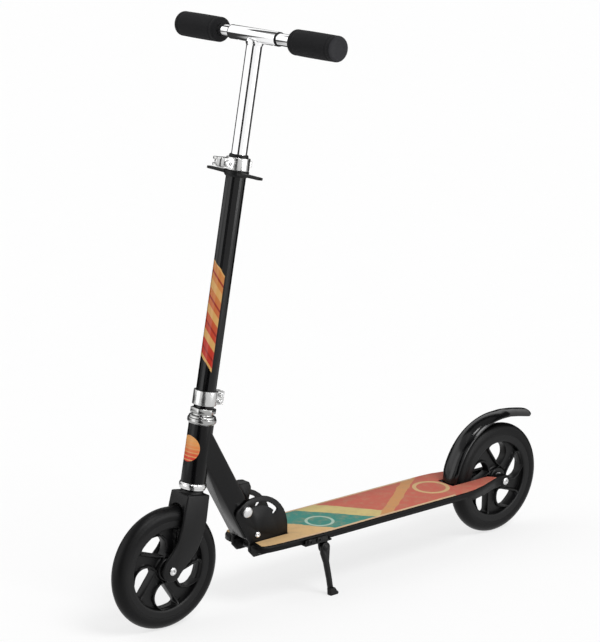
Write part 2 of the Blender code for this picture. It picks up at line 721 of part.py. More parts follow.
crown_rear = -20.0
fork_edge = [(crown_rear, crown_top), (24, crown_top), (25, crown_top - 9.4), (26.3, crown_top - 25.6)]
fork_edge += [(26.4, crown_top - 48.3), (30, 47.8)]
fork_edge += [(38.7, 28.8), (50, 13.2)]
fork_edge += arc((fork_offset, 0), 18.6, 8, -163, 8)
fork_edge += [(3.6, 11.9), (-11.1, 32.3), (-18.3, 54.9), (-21.2, crown_top - 42.6)]
fork = add("fork", prism(fork_edge, -fork_half, fork_half), steering, black_paint, smooth=35)
bevel(fork, 2.2, 2, 60)
arch = [(-fork_inner, -60)] + arc((0, crown_top - 34), fork_inner, 180, 0, 10) + [(fork_inner, -60)]
cut(fork, prism(arch, -60, 80, "X"), smooth=35)
seat_low = crown_top - 10
crown_seat = [(0, seat_low), (18.5, seat_low), (18.5, crown_top + 2.5), (17, crown_top + 5.6), (0, crown_top + 5.6)]
join(fork, turned(crown_seat, tube_steps, closed=False), smooth=35)
join(fork, rod(steerer_radius, seat_low, steerer_top, tube_steps), smooth=35)
cut(fork, rod(steerer_bore, crown_top - 6, steerer_top + 10, pin_steps), smooth=35)
axle_bosses(fork, front_axle_frame, fork_inner)
cut(fork, rod(axle_radius + bolt_gap / 2, -40, 40, 16, "Y"), place=(fork_offset, 0, 0), smooth=35)
axle("front", front_axle_frame, fork_half)
axle("rear", rear_axle_frame, 31.0)

cup_bore = 15.6
skirt = head_bore - seat_gap
lower_cup = [(cup_bore, head_bottom - 2), (19.0, head_bottom - 2), (19.0, head_bottom - 9), (21.5, head_bottom - 9)]
lower_cup += [(21.0, head_bottom - 0.3), (skirt, head_bottom - 0.3)]
lower_cup += [(skirt, head_bottom + 9), (cup_bore, head_bottom + 9)]
add("lower_headset_cup", turned(lower_cup, tube_steps), steering, bright_alloy, smooth=35)
upper_cup = [(cup_bore, head_top - 9), (skirt, head_top - 9), (skirt, head_top + 0.3), (20.5, head_top + 0.3)]
upper_cup += [(23.2, head_top + 4), (23.2, head_top + 9.5), (19.0, head_top + 9.5), (19.0, head_top + 2.4)]
upper_cup += [(cup_bore, head_top + 2.4)]
add("upper_headset_cup", turned(upper_cup, tube_steps), steering, bright_alloy, smooth=35)
ring = [(steerer_radius + 0.3, 0), (18.7, 0), (18.7, 6.2), (steerer_radius + 0.3, 6.2)]
for name, height in (("lower", head_bottom - 8.6), ("upper", head_top + 2.8)):
    add(f"{name}_headset_bearing", moved(turned(ring, tube_steps), z=height), steering, bearing_steel, smooth=35)
cone = [(steerer_radius + 0.3, head_top + 9.4), (18.4, head_top + 9.4), (18.4, head_top + 9.8)]
cone += [(22.6, head_top + 9.8), (20.8, head_top + 14.0), (17.6, head_top + 14.2), (17.6, head_top + 22.2)]
cone += [(steerer_radius + 0.3, head_top + 22.2)]
add("headset_adjusting_nut", turned(cone, tube_steps), steering, bright_alloy, smooth=35)
lock = add("headset_lock_nut", hexagon(36.0, head_top + 22.5, head_top + 31.2), steering, zinc)
bevel(lock, 0.6, 1, 50)
cut(lock, rod(steerer_radius + 0.3, head_top - 28, head_top + 72, tube_steps), smooth=35)

tube = pipe(column_radius, column_bore, column_bottom, column_top, tube_steps)
column = add("steering_column", tube, steering, black_paint, smooth=35)
cut(column, box(0, 30, -1.4, 1.4, clip_bottom + 3, column_top + 43.5))
cut(column, box(-30, 0, -1.4, 1.4, column_bottom - 59.6, column_bottom + 32))


def split_clamp(name, low, high, radius, ear_side, ear_reach, ear_half, ear_low, ear_high, ear_round, material):
    """A clamp ring round the column with a pair of pinch ears, split between them."""
    profile = [(0, low), (radius, low), (radius, high - 1.0), (radius - 0.9, high), (0, high)]
    clamp = add(name, turned(profile, tube_steps, closed=False), steering, material, smooth=35)
    start = 8.0
    ears = rounded([(start, ear_low), (ear_reach, ear_low), (ear_reach, ear_high), (start, ear_high)], ear_round, 3)
    join(clamp, prism([(ear_side * x, z) for x, z in ears], -ear_half, ear_half), smooth=35)
    cut(clamp, rod(column_radius + seat_gap, low - 10, high + 10, tube_steps), smooth=35)
    gap_box = sorted((0, ear_side * (ear_reach + 10)))
    cut(clamp, box(*gap_box, -1.4, 1.4, low - 10, high + 10))
    return clamp


collar_low = head_top + 31.5
collar_high = collar_low + 28.0
collar = split_clamp("lower_collar", collar_low, collar_high, 19.0, -1, 31.0, 8.0, collar_low + 1.5,
                     collar_high - 2.5, 4.0, bright_alloy)
collar_bolt_x = -25.0
collar_bolt_heights = (collar_low + 7.5, collar_low + 20.0)
for name, height in zip(("lower", "upper"), collar_bolt_heights):
    cut(collar, rod(2.5 + bolt_gap, -20, 20, screw_steps, "Y"), place=(collar_bolt_x, 0, height))
    screw = moved(bolt(4.4, 4.6, 2.5, 19.5, steps=screw_steps), y=8.3)
    add(f"collar_bolt_{name}", screw, steering, dark_steel, place=(collar_bolt_x, 0, height), smooth=35)

clamp = split_clamp("top_clamp", clamp_bottom, clamp_top, 19.0, 1, lever_x + 8.0, ear_half, clamp_ear_low,
                    clamp_ear_high, 7.8, bright_alloy)
nub = rounded([(-17.6, clamp_bottom + 5), (-25.5, clamp_bottom + 5), (-25.5, clamp_top - 4), (-17.6, clamp_top - 4)], 2, 2)
join(clamp, prism(nub, -4.5, 4.5))
skewer_radius = 2.5
cut(clamp, rod(skewer_radius + bolt_gap, -20, 20, 12, "Y"), place=(lever_x, 0, lever_s))
skewer = rod(skewer_radius, lever_y - 1.0, 16.2, screw_steps, "Y")
skewer = add("clamp_skewer", skewer, steering, zinc, place=(lever_x, 0, lever_s), smooth=35)
join(skewer, rod(3.6, -5.2, 5.2, screw_steps, "Z"), place=(lever_x, lever_y, lever_s), smooth=35)
nut = pipe(6.2, skewer_radius + bolt_gap / 2, 9.3, 15.6, pin_steps, "Y", 1.0)
add("clamp_skewer_nut", nut, steering, zinc, place=(lever_x, 0, lever_s), smooth=35)

# The quick-release lever: a cam round the skewer's barrel and a handle hugging the column
cam = rod(cam_radius, -7, 7, 20)
quick = add("quick_release_lever", cam, lever_hinge, bright_alloy, smooth=35)
handle_outer = [(5.5, -4.5), (2, -9.5), (-8, -13.2), (-22, -14.6), (-36, -12.2), (-47, -6.4), (-51, -1.5)]
handle_inner = [(-49.4, 0.6), (-45.8, -3.0), (-35.4, -8.6), (-22, -10.8), (-10, -9.6), (-3, -5.0)]
handle = prism(handle_outer + handle_inner, -6.2, 6.2, "Z")
join(quick, handle, smooth=35)
cut(quick, rod(3.6 + bolt_gap, -5.8, 5.8, pin_steps), smooth=35)
cut(quick, box(-3.1, 20, -20, 20, -3.1, 3.1))

# Ring with two wings that carries the clips for the taken-off grips
ring = [(0, clip_bottom), (17.2, clip_bottom), (19.6, clip_bottom + 3.4), (19.6, clamp_bottom - 1.2)]
ring += [(18.8, clamp_bottom - seat_gap), (0, clamp_bottom - seat_gap)]
clip = add("grip_clip_ring", turned(ring, tube_steps, closed=False), steering, black_plastic, smooth=35)
wing = [(8.0, 6), (6.2, 24), (4.2, 50), (4.4, 60), (3.2, 64.4), (0, 66)]
wing_outline = wing + [(-x, y) for x, y in wing[-2::-1]]
wing_outline = wing_outline + [(-x, -y) for x, y in wing_outline]
join(clip, prism(wing_outline, clip_bottom + 3.6, clip_bottom + 7.2, "Z"))
cut(clip, rod(column_radius + seat_gap, clip_bottom - 27, clip_bottom + 73, tube_steps), smooth=35)

bushing_low = column_top - 16.5
bushing = [(stem_radius + seat_gap, bushing_low), (column_bore - seat_gap, bushing_low)]
bushing += [(column_bore - seat_gap, column_top + 0.3)]
bushing += [(15.2, column_top + 0.3), (15.2, column_top + 3.6), (14.2, column_top + 5.4)]
bushing += [(stem_radius + seat_gap, column_top + 5.4)]
add("tube_bushing", turned(bushing, tube_steps), steering, black_plastic, smooth=35)


# Handlebar

stem_low = stem_bottom - bar_height
weld = [(stem_radius, -15.3), (stem_radius + 1.8, -12.8), (stem_radius + 2.3, -9.5), (stem_radius + 1.2, -6)]
post = [(0, stem_low), (stem_radius, stem_low)] + weld + [(stem_radius - 1.6, -3.2), (0, -3.2)]
stem = add("handlebar_stem", turned(post, tube_steps, closed=False), bar_slide, chrome, smooth=35)
join(stem, rod(sleeve_radius, -sleeve_half, sleeve_half, tube_steps, "Y"), smooth=35)
cut(stem, rod(sleeve_bore, -80, 80, tube_steps, "Y"), smooth=35)
cut(stem, rod(stem_bore, stem_low - 20, -13.5, tube_steps), smooth=35)
for side in (1, -1):
    hole = bar_offset + side * button_y
    cut(stem, rod(button_radius + bolt_gap, -20, 0, screw_steps), place=(0, hole, 0), smooth=35)

for name, parent, side in (("left", left_slide, 1), ("right", right_slide, -1)):
    ends = sorted((0.0, side * (bar_outer_end - bar_inner_end)))
    bar = add(f"{name}_handlebar", pipe(bar_radius, bar_bore, *ends, tube_steps, "Y"), parent, chrome, smooth=35)
    hole = side * (button_y - bar_inner_end)
    cut(bar, rod(button_radius + bolt_gap, -20, 0, screw_steps), place=(0, hole, 0), smooth=35)
    button = [(0, -9.9), (2.2, -9.6), (button_radius, -8.6), (button_radius, -4.6)]
    button += [(4.0, -4.6), (4.0, -3.4), (0, -3.4)]
    dome = turned(button, screw_steps, closed=False)
    add(f"{name}_snap_button", dome, parent, zinc, place=(0, hole, 0), smooth=35)
    start = grip_start - bar_inner_end
    end = grip_end - bar_inner_end
    bore = bar_radius + seat_gap
    foam = [(bore, start), (grip_radius - 2.0, start), (grip_radius, start + 3)]
    foam += [(grip_radius, end - 4.5), (grip_radius - 3.6, end), (0, end), (0, end - 4.6), (bore, end - 4.6)]
    foam = [(radius, side * along) for radius, along in foam]
    add(f"{name}_grip", turned(foam, tube_steps, "Y"), parent, black_foam, smooth=35)


# Fender brake

def fender_path(count=10):
    """Side-view points of the fender's crown with its half width and crown height at each."""
    stations = []
    for index in range(count + 1):
        angle = 5.0 + 88.0 * index / count
        rise = max(0.0, angle - 20.0) / 73.0
        wide = min(1.0, max(0.0, angle - 8.0) / 10.0)
        x, z = polar(fender_radius + 4.6 * rise ** 1.5, angle, (rear_x, axle_z))
        stations.append((x, z, slot_half - 0.6 + wide * (fender_half - slot_half + 0.6), 7.5))
    crest = axle_z + fender_radius
    lip = [(-20, 5.4, 0, 7.0), (-42, 3.6, 0, 6.2), (-60, 0.7, 0.7, 5.4), (-70, -1.6, 2.9, 4.8)]
    lip += [(-76.5, -3.4, 6.9, 4.3), (-80.6, -4.7, 13.5, 3.8)]
    return stations + [(rear_x + x, crest + z, fender_half - narrower, high) for x, z, narrower, high in lip]


def fender_section(place, ahead, half, crown, steps=8):
    """The arched section square to the path: outer arc out, inner arc back."""
    across = math.radians(80)
    up = Vector((ahead.y, -ahead.x)).normalized()
    points = []
    for wall, direction in ((0.0, 1), (fender_wall, -1)):
        for step in range(steps + 1):
            angle = direction * across * (2 * step / steps - 1)
            side = max(half - wall, 0.4) * math.sin(angle) / math.sin(across)
            drop = wall + (crown - wall) * (1 - math.cos(angle)) / (1 - math.cos(across))
            spot = Vector(place) - up * drop
            points.append((spot.x - hinge_x, side, spot.y - hinge_z))
    return points


stations = fender_path()
sections = []
for index, (x, z, half, crown) in enumerate(stations):
    before = Vector(stations[max(index - 1, 0)][:2])
    after = Vector(stations[min(index + 1, len(stations) - 1)][:2])
    sections.append(fender_section((x, z), after - before, half, crown))
fender = add("fender_brake", loft(sections), brake_hinge, black_plastic, smooth=35)
barrel = slot_half - 0.6
join(fender, rod(5.0, -barrel, barrel, pin_steps, "Y"), smooth=35)
cut(fender, rod(hinge_pin_radius + bolt_gap / 2, -30, 30, screw_steps, "Y"), smooth=35)
spring_half = 6.6
cut(fender, box(-8, 8, -spring_half, spring_half, -8, 5.6))
pin = rod(hinge_pin_radius, -23.4, 23.4, screw_steps, "Y")
add("fender_hinge_pin", pin, brake_hinge, zinc, smooth=35)
coil("fender_spring", brake_hinge, spring_steel, 3.5, 0.6, 2 * spring_half - 1.0, 5, (0, -spring_half + 0.5, 0),
     (-90, 0, 0))


# Side stand

leg_end = -(stand_z - 9.4)
leg_bend = leg_end + 23
leg_side = arc((0, 0), 9.0, -12, 180, 9) + [(-5, -24.5), (-8.2, leg_bend), (-10.2, leg_end)]
leg_side += [(-1.6, leg_end), (0.6, leg_bend), (4.6, -26), (9.6, -9)]
leg = add("kickstand_leg", prism(leg_side, -stand_thick, 0), stand_hinge, black_paint, smooth=35)
bevel(leg, 1.0, 1, 50)
stand_bolt = 4.0
cut(leg, rod(stand_bolt + bolt_gap, -20, 20, 16, "Y"), smooth=35)


def in_frame(parent, place):
    """A point of the scooter's frame, in a parent's own frame, in millimetres."""
    return tuple(frames[parent.name].inverted() @ (Vector(place) * mm) / mm)


foot_y = stand_face + 8.4
foot_place = in_frame(stand_hinge, (stand_x - 10.4, foot_y, foot_y * math.tan(math.radians(lean))))
foot_outline = rounded([(-10, -5.4), (9.8, -5.4), (9.8, 5.0), (-10, 5.0)], 3.6, 3)
foot = add("kickstand_foot", prism(foot_outline, 0, 12.5, "Z"), stand_hinge, black_rubber,
           place=foot_place, turn=(lean - stand_splay, 0, 0), smooth=35)
socket = [(-10.6, leg_end - 0.3), (-9.6, leg_end + 16), (0.4, leg_end + 16), (-1.2, leg_end - 0.3)]
cut(foot, prism(socket, -stand_thick - seat_gap, seat_gap), place=(0, 0, 0))
ear_thick = 3.0
ear_face = -stand_thick - seat_gap
plate_low = deck_edge_bottom - 3.0
plate_high = deck_edge_bottom - seat_gap
flange = deck_half + seat_gap
flange_thick = 2.5
plate_front = stand_x + 46
plate = box(stand_x - 10, plate_front, stand_face - 11.4, flange + flange_thick, plate_low, plate_high)
bracket = add("kickstand_bracket", plate, scooter, black_paint)
side_top = plate_low + 10
side_plate = [(stand_x - 2, plate_low), (plate_front, plate_low), (plate_front, side_top), (stand_x - 2, side_top)]
side_plate = rounded(side_plate, 3.0, 3)
join(bracket, prism(side_plate, flange, flange + flange_thick))
ear_top = plate_low + 1.4 - stand_z
ear = arc((0, 0), 9.0, 180, 360, 8) + [(10, ear_top), (-10, ear_top)]
join(bracket, prism(ear, ear_face - ear_thick, ear_face), parent=stand_hinge, smooth=35)
cut(bracket, rod(stand_bolt + bolt_gap, -30, 30, 16, "Y"), parent=stand_hinge, smooth=35)
screw_z = deck_edge_bottom + 3.4
screw_places = ((stand_x + 18.0, screw_z), (stand_x + 37.5, screw_z))
for name, (x, z) in zip(("rear", "front"), screw_places):
    for plate in (bracket, deck):
        cut(plate, rod(2.5 + bolt_gap, deck_half - 9, deck_half + 11, 12, "Y"), place=(x, 0, z))
    screw = bolt(5.0, 2.4, 2.5, 8.4, steps=screw_steps)
    place = (x, flange + flange_thick + seat_gap, z)
    add(f"kickstand_screw_{name}", screw, scooter, zinc, place=place, smooth=35)
low = ear_face - ear_thick - seat_gap
rivet = [(0, low - 2.6), (4.4, low - 2.2), (6.4, low - 0.7), (6.4, low), (stand_bolt, low), (stand_bolt, seat_gap)]
rivet += [(6.4, seat_gap), (6.4, seat_gap + 0.7), (4.4, seat_gap + 2.2), (0, seat_gap + 2.6)]
add("kickstand_pivot_rivet", turned(rivet, pin_steps, "Y", closed=False), stand_hinge, zinc, smooth=35)
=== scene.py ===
import json
import math

import bmesh
import bpy
import numpy as np
from mathutils import Matrix, Vector


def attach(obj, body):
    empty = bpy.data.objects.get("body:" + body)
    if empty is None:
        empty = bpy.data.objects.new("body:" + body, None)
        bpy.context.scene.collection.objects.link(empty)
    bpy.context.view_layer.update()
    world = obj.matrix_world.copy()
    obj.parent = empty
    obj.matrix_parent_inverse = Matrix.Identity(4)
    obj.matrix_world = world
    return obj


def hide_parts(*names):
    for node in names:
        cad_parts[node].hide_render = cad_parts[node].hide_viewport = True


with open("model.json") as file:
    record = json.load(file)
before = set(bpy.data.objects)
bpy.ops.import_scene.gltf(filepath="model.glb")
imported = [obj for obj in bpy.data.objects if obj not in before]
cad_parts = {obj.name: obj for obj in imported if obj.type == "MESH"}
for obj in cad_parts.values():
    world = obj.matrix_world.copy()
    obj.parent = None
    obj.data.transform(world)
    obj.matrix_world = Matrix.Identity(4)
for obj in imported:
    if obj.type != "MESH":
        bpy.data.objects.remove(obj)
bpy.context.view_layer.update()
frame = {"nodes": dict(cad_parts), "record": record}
print("scooter frame loaded:", len(frame["nodes"]), "solids")

mm = 0.001


# where the scooter's parts stand; millimetres and degrees, as the solids were drawn

stance = {
    "lean": 3.0, "sideShift": -54.095, "rake": 9.516, "steerX": 334.073, "steerZ": 94.313,
    "pivotX": 198.0, "pivotZ": 124.0, "neckPitch": 29.6, "axleX": 368.0, "axleZ": 100.0,
    "barHeight": 846.0, "barMiddle": 5.5, "fenderX": -256.0, "fenderZ": 106.0,
}


def turned4(angle, axis):
    return np.array(Matrix.Rotation(math.radians(angle), 4, axis))


def shifted4(x=0.0, y=0.0, z=0.0):
    return np.array(Matrix.Translation((x * mm, y * mm, z * mm)))


uprightFrame = shifted4(y=stance["sideShift"]) @ turned4(-stance["lean"], "X")
steerFrame = uprightFrame @ shifted4(stance["steerX"], 0, stance["steerZ"]) @ turned4(-stance["rake"], "Y")
pivotFrame = uprightFrame @ shifted4(stance["pivotX"], 0, stance["pivotZ"])
neckFrame = pivotFrame @ turned4(stance["neckPitch"], "Y")
barFrame = steerFrame @ shifted4(z=stance["barHeight"])
gripFrame = barFrame @ shifted4(y=stance["barMiddle"])
frontHubFrame = uprightFrame @ shifted4(stance["axleX"], 0, stance["axleZ"])
rearHubFrame = uprightFrame @ shifted4(-stance["axleX"], 0, stance["axleZ"])
fenderFrame = uprightFrame @ shifted4(stance["fenderX"], 0, stance["fenderZ"])
hubs = {"front": frontHubFrame, "rear": rearHubFrame}
sides = {"left": 1, "right": -1}


# shader maths

class Signal:
    # one output socket that can stand in a sum
    def __init__(self, finish, socket):
        self.finish = finish
        self.socket = socket

    def combine(self, operation, *values):
        return self.finish.node("ShaderNodeMath", {"operation": operation}, list(values))

    def __add__(self, other):
        return self.combine("ADD", self, other)

    def __radd__(self, other):
        return self.combine("ADD", other, self)

    def __sub__(self, other):
        return self.combine("SUBTRACT", self, other)

    def __rsub__(self, other):
        return self.combine("SUBTRACT", other, self)

    def __mul__(self, other):
        return self.combine("MULTIPLY", self, other)

    def __rmul__(self, other):
        return self.combine("MULTIPLY", other, self)

    def __pow__(self, other):
        return self.combine("POWER", self, other)

    def __abs__(self):
        return self.combine("ABSOLUTE", self)

    def rise(self, low, high):
        # 0 below low, 1 above high, smooth between
        return self.finish.node("ShaderNodeMapRange", {"interpolation_type": "SMOOTHSTEP"},
                                {"Value": self, "From Min": low, "From Max": high})

    def band(self, low, high, edge):
        return self.rise(low - edge, low + edge) * (1 - self.rise(high - edge, high + edge))


class Graph:
    # a node tree whose last node is the shader or background
    def __init__(self, tree, shaderName):
        self.tree = tree
        self.shader = tree.nodes[shaderName]

    def set(self, socketName, value):
        socket = self.shader.inputs[socketName]
        if isinstance(value, Signal):
            self.tree.links.new(value.socket, socket)
        else:
            socket.default_value = value

    def node(self, kind, settings=None, values=None, out=0):
        made = self.tree.nodes.new(kind)
        for key, value in (settings or {}).items():
            setattr(made, key, value)
        pairs = values.items() if isinstance(values, dict) else enumerate(values or [])
        for key, value in pairs:
            if isinstance(value, Signal):
                self.tree.links.new(value.socket, made.inputs[key])
            elif value is not None:
                made.inputs[key].default_value = value
        return Signal(self, made.outputs[out])

    def split(self, vector):
        cut = self.node("ShaderNodeSeparateXYZ", None, [vector])
        return [Signal(self, cut.socket.node.outputs[i]) for i in range(3)]


class Finish(Graph):
    # one node material; constants go straight onto the shader's sockets
    def __init__(self, name, colour, roughness, metallic=0.0, **constants):
        self.material = bpy.data.materials.new(name)
        self.material.use_nodes = True
        super().__init__(self.material.node_tree, "Principled BSDF")
        self.set("Base Color", (*colour, 1.0))
        self.set("Roughness", roughness)
        self.set("Metallic", metallic)
        for key, value in constants.items():
            self.set(key.replace("_", " "), value)

    def position(self):
        return self.node("ShaderNodeTexCoord", out=3)

    def place(self, placeFrame=None):
        # x, y and z in millimetres in one of the scooter's frames: rows of the inverse matrix as sums
        world = self.split(self.position())
        if placeFrame is None:
            return [axis * 1000 for axis in world]
        rows = np.linalg.inv(placeFrame)[:3] * 1000
        found = []
        for row in rows:
            total = float(row[3])
            for weight, axis in zip(row[:3], world):
                if abs(weight) > 1e-6:
                    total = axis * float(weight) + total
            found.append(total)
        return found

    def grain(self, scale, detail=2.0, rough=0.5, stretch=None):
        vector = self.position()
        if stretch is not None:
            vector = self.node("ShaderNodeMapping", None, {"Vector": vector, "Rotation": stretch[0],
                                                           "Scale": stretch[1]})
        return self.node("ShaderNodeTexNoise", None, {"Vector": vector, "Scale": scale, "Detail": detail,
                                                      "Roughness": rough})

    def cells(self, scale):
        values = {"Vector": self.position(), "Scale": scale}
        return self.node("ShaderNodeTexVoronoi", {"feature": "F1"}, values)

    def mix(self, factor, first, second):
        pair = [value if isinstance(value, Signal) else (*value, 1.0) for value in (first, second)]
        return self.node("ShaderNodeMix", {"data_type": "RGBA"}, {0: factor, 6: pair[0], 7: pair[1]}, out=2)

    def relief(self, height, depth, edge=0.0):
        # bump of a depth in millimetres, over softened edges
        values = {"Height": height, "Distance": depth * mm, "Strength": 1.0}
        if edge:
            values["Normal"] = self.node("ShaderNodeBevel", {"samples": 4}, {"Radius": edge * mm})
        self.set("Normal", self.node("ShaderNodeBump", None, values))


# finishes

def shade(colour, share):
    return tuple(min(1.0, value * share) for value in colour)


def powderCoat(name, colour=(0.003, 0.003, 0.0033), edge=0.5, gloss=0.19):
    coat = Finish(name, colour, 0.4, Specular_IOR_Level=gloss)
    peel = coat.grain(650, 2)
    cloud = coat.grain(22, 3)
    scuff = coat.grain(120, 5, 0.65).rise(0.62, 0.78)
    coat.set("Base Color", coat.mix(scuff * 0.35, shade(colour, 0.92), shade(colour, 2.1)))
    coat.set("Roughness", 0.34 + cloud * 0.14 + scuff * 0.08)
    coat.relief(peel, 0.05, edge)
    return coat.material


def mouldedPlastic(name, colour, roughness, edge=0.4, gloss=0.2):
    plastic = Finish(name, colour, roughness, Specular_IOR_Level=gloss)
    spark = plastic.grain(1500, 2)
    cloud = plastic.grain(30, 3)
    plastic.set("Base Color", plastic.mix(cloud, shade(colour, 0.85), shade(colour, 1.25)))
    plastic.set("Roughness", roughness - 0.06 + cloud * 0.12)
    plastic.relief(spark, 0.03, edge)
    return plastic.material


def wheelUrethane(name):
    tyre = Finish(name, (0.003, 0.003, 0.0034), 0.5, Specular_IOR_Level=0.13)
    cloud = tyre.grain(26, 4)
    scuff = tyre.grain(420, 4, 0.7).rise(0.6, 0.8)
    worn = scuff * 0.4 + cloud * 0.2
    tyre.set("Base Color", tyre.mix(worn, (0.0022, 0.0022, 0.0025), (0.011, 0.0107, 0.0107)))
    tyre.set("Roughness", 0.34 + cloud * 0.12)
    tyre.relief(tyre.grain(1100, 3), 0.04)
    return tyre.material


def gripFoam(name):
    # fine cells, and outer end faces painted a lighter grey: painted light standing for the lamp falling on
    # the grips' caps
    foam = Finish(name, (0.008, 0.008, 0.009), 0.9, Sheen_Weight=0.03, Sheen_Roughness=0.5,
                  Specular_IOR_Level=0.12)
    cells = foam.cells(1300.0)
    cloud = foam.grain(55, 4, 0.6)
    along = foam.place(gripFrame)[1]
    skin = foam.mix(cells * 0.7 + cloud * 0.3, (0.003, 0.003, 0.0036), (0.015, 0.015, 0.0165))
    # the outer end faces get a lighter grey than the foam: painted light where the lamp falls on the caps,
    # not a different foam
    foam.set("Base Color", foam.mix(abs(along).rise(185.4, 186.6), skin, (0.028, 0.028, 0.031)))
    foam.set("Roughness", 0.8 + cloud * 0.15)
    foam.relief(cells * 0.8 + cloud * 0.5, 0.22)
    return foam.material


def chromePlate(name):
    plate = Finish(name, (0.86, 0.86, 0.87), 0.06, 1.0)
    haze = plate.grain(40, 4, 0.6)
    fine = plate.grain(700, 3)
    plate.set("Roughness", 0.035 + haze * 0.06)
    plate.set("Base Color", plate.mix(haze, (0.9, 0.9, 0.905), (0.96, 0.96, 0.965)))
    plate.relief(fine, 0.004)
    return plate.material


def brushedAlloy(name, colour=(0.55, 0.55, 0.545), roughness=0.22, stretch=((0, 0, 0), (1, 1, 26))):
    alloy = Finish(name, colour, roughness, 1.0)
    brush = alloy.grain(160, 4, 0.6, stretch)
    cloud = alloy.grain(40, 3)
    alloy.set("Base Color", alloy.mix(brush, shade(colour, 0.92), shade(colour, 1.07)))
    alloy.set("Roughness", roughness - 0.05 + brush * 0.08 + cloud * 0.04)
    alloy.relief(brush, 0.006, 0.35)
    return alloy.material


def platedSteel(name, colour=(0.6, 0.6, 0.6), roughness=0.33, edge=0.25):
    steel = Finish(name, colour, roughness, 1.0)
    cloud = steel.grain(260, 4, 0.6)
    steel.set("Base Color", steel.mix(cloud, shade(colour, 0.9), shade(colour, 1.06)))
    steel.set("Roughness", roughness - 0.04 + cloud * 0.08)
    steel.relief(cloud, 0.005, edge)
    return steel.material


deckPrint = {
    "slant": 0.8, "teal": (0.033, 0.205, 0.165), "tanFrom": 96, "tan": (0.57, 0.37, 0.17),
    # fields behind a slanted line: its place and its ink
    "fields": [(8, (0.52, 0.42, 0.17)), (-38, (0.46, 0.105, 0.07))],
    "strapSlant": -1.4, "strap": (-150, -118), "orange": (0.5, 0.24, 0.09),
    # rings: centre, inner and outer radius, ink
    "rings": [(-214, 0, 26, 33, (0.54, 0.36, 0.17)), (54, 12, 20, 25, (0.33, 0.47, 0.39))],
    "border": 52.4, "borderFrom": -220, "borderInk": (0.58, 0.4, 0.24), "bare": (0.34, 0.24, 0.13),
}


def printedTape(name):
    # a printed design of diagonal fields and rings under clear grit, in the deck's own plane
    tape = Finish(name, (0.6, 0.2, 0.15), 0.75, Specular_IOR_Level=0.35)
    x, y, _ = tape.place(uprightFrame)
    wobble = (tape.grain(38, 3) - 0.5) * 14
    slant = x + y * deckPrint["slant"] + wobble
    tan = slant.rise(deckPrint["tanFrom"], deckPrint["tanFrom"] + 1)
    colour = tape.mix(tan, deckPrint["teal"], deckPrint["tan"])
    for line, ink in deckPrint["fields"]:
        colour = tape.mix(1 - slant.rise(line, line + 1), colour, ink)
    strap = (x + y * deckPrint["strapSlant"] + wobble).band(*deckPrint["strap"], 0.5)
    colour = tape.mix(strap, colour, deckPrint["orange"])
    for centreX, centreY, inner, outer, ink in deckPrint["rings"]:
        reach = ((x - centreX) ** 2 + (y - centreY) ** 2) ** 0.5
        colour = tape.mix(reach.band(inner, outer, 0.4), colour, ink)
    border = abs(y).rise(deckPrint["border"], deckPrint["border"] + 0.8)
    border = border * x.rise(deckPrint["borderFrom"], deckPrint["borderFrom"] + 1)
    colour = tape.mix(border, colour, deckPrint["borderInk"])
    worn = tape.grain(62, 6, 0.72).rise(0.44, 0.68)
    colour = tape.mix(worn * 0.34, colour, deckPrint["bare"])
    tape.set("Base Color", colour)
    grit = tape.cells(1500.0)
    tape.set("Roughness", 0.68 + grit * 0.2)
    tape.relief(grit + tape.grain(800, 2) * 0.5, 0.1)
    return tape.material


columnPrint = {
    "face": 50.0, "height": (326, 478), "width": (-15.4, 4.5), "slant": 1.1,
    "black": (0.001, 0.001, 0.0013), "low": (0.44, 0.035, 0.02), "high": (0.5, 0.19, 0.05),
    "wide": (0.56, 0.31, 0.1), "thin": (0.26, 0.02, 0.015),
}


def printedColumn(name):
    # black coat with a slanted striped panel, which faces the given degrees to the left of forward
    coat = Finish(name, columnPrint["black"], 0.3, Specular_IOR_Level=0.28)
    x, y, s = coat.place(steerFrame)
    face = math.radians(columnPrint["face"])
    across = x * -math.sin(face) + y * math.cos(face)
    front = x * math.cos(face) + y * math.sin(face)
    wobble = (coat.grain(60, 3) - 0.5) * 10
    slant = s + across * columnPrint["slant"] + wobble
    panel = slant.band(*columnPrint["height"], 0.5) * front.rise(-1.2, -0.8)
    panel = panel * across.band(*columnPrint["width"], 0.4)
    stripe = (s * 0.105 + across * 0.16).combine("FRACT", s * 0.0253 + across * 0.03)
    ink = coat.mix(slant.rise(350, 470), columnPrint["low"], columnPrint["high"])
    ink = coat.mix(stripe.band(0.0, 0.35, 0.02), ink, columnPrint["wide"])
    ink = coat.mix(stripe.band(0.6, 0.7, 0.02), ink, columnPrint["thin"])
    peel = coat.grain(650, 2)
    coat.set("Base Color", coat.mix(panel, columnPrint["black"], ink))
    coat.set("Roughness", 0.1 + coat.grain(22, 3) * 0.05)
    coat.relief(peel + panel * 0.6, 0.03, 0.4)
    return coat.material


badge = {
    "height": 194, "radius": 21, "tube": 20, "black": (0.0015, 0.0015, 0.0018), "low": (0.58, 0.05, 0.03),
    "high": (0.68, 0.32, 0.1), "stripe": (0.62, 0.3, 0.11),
}


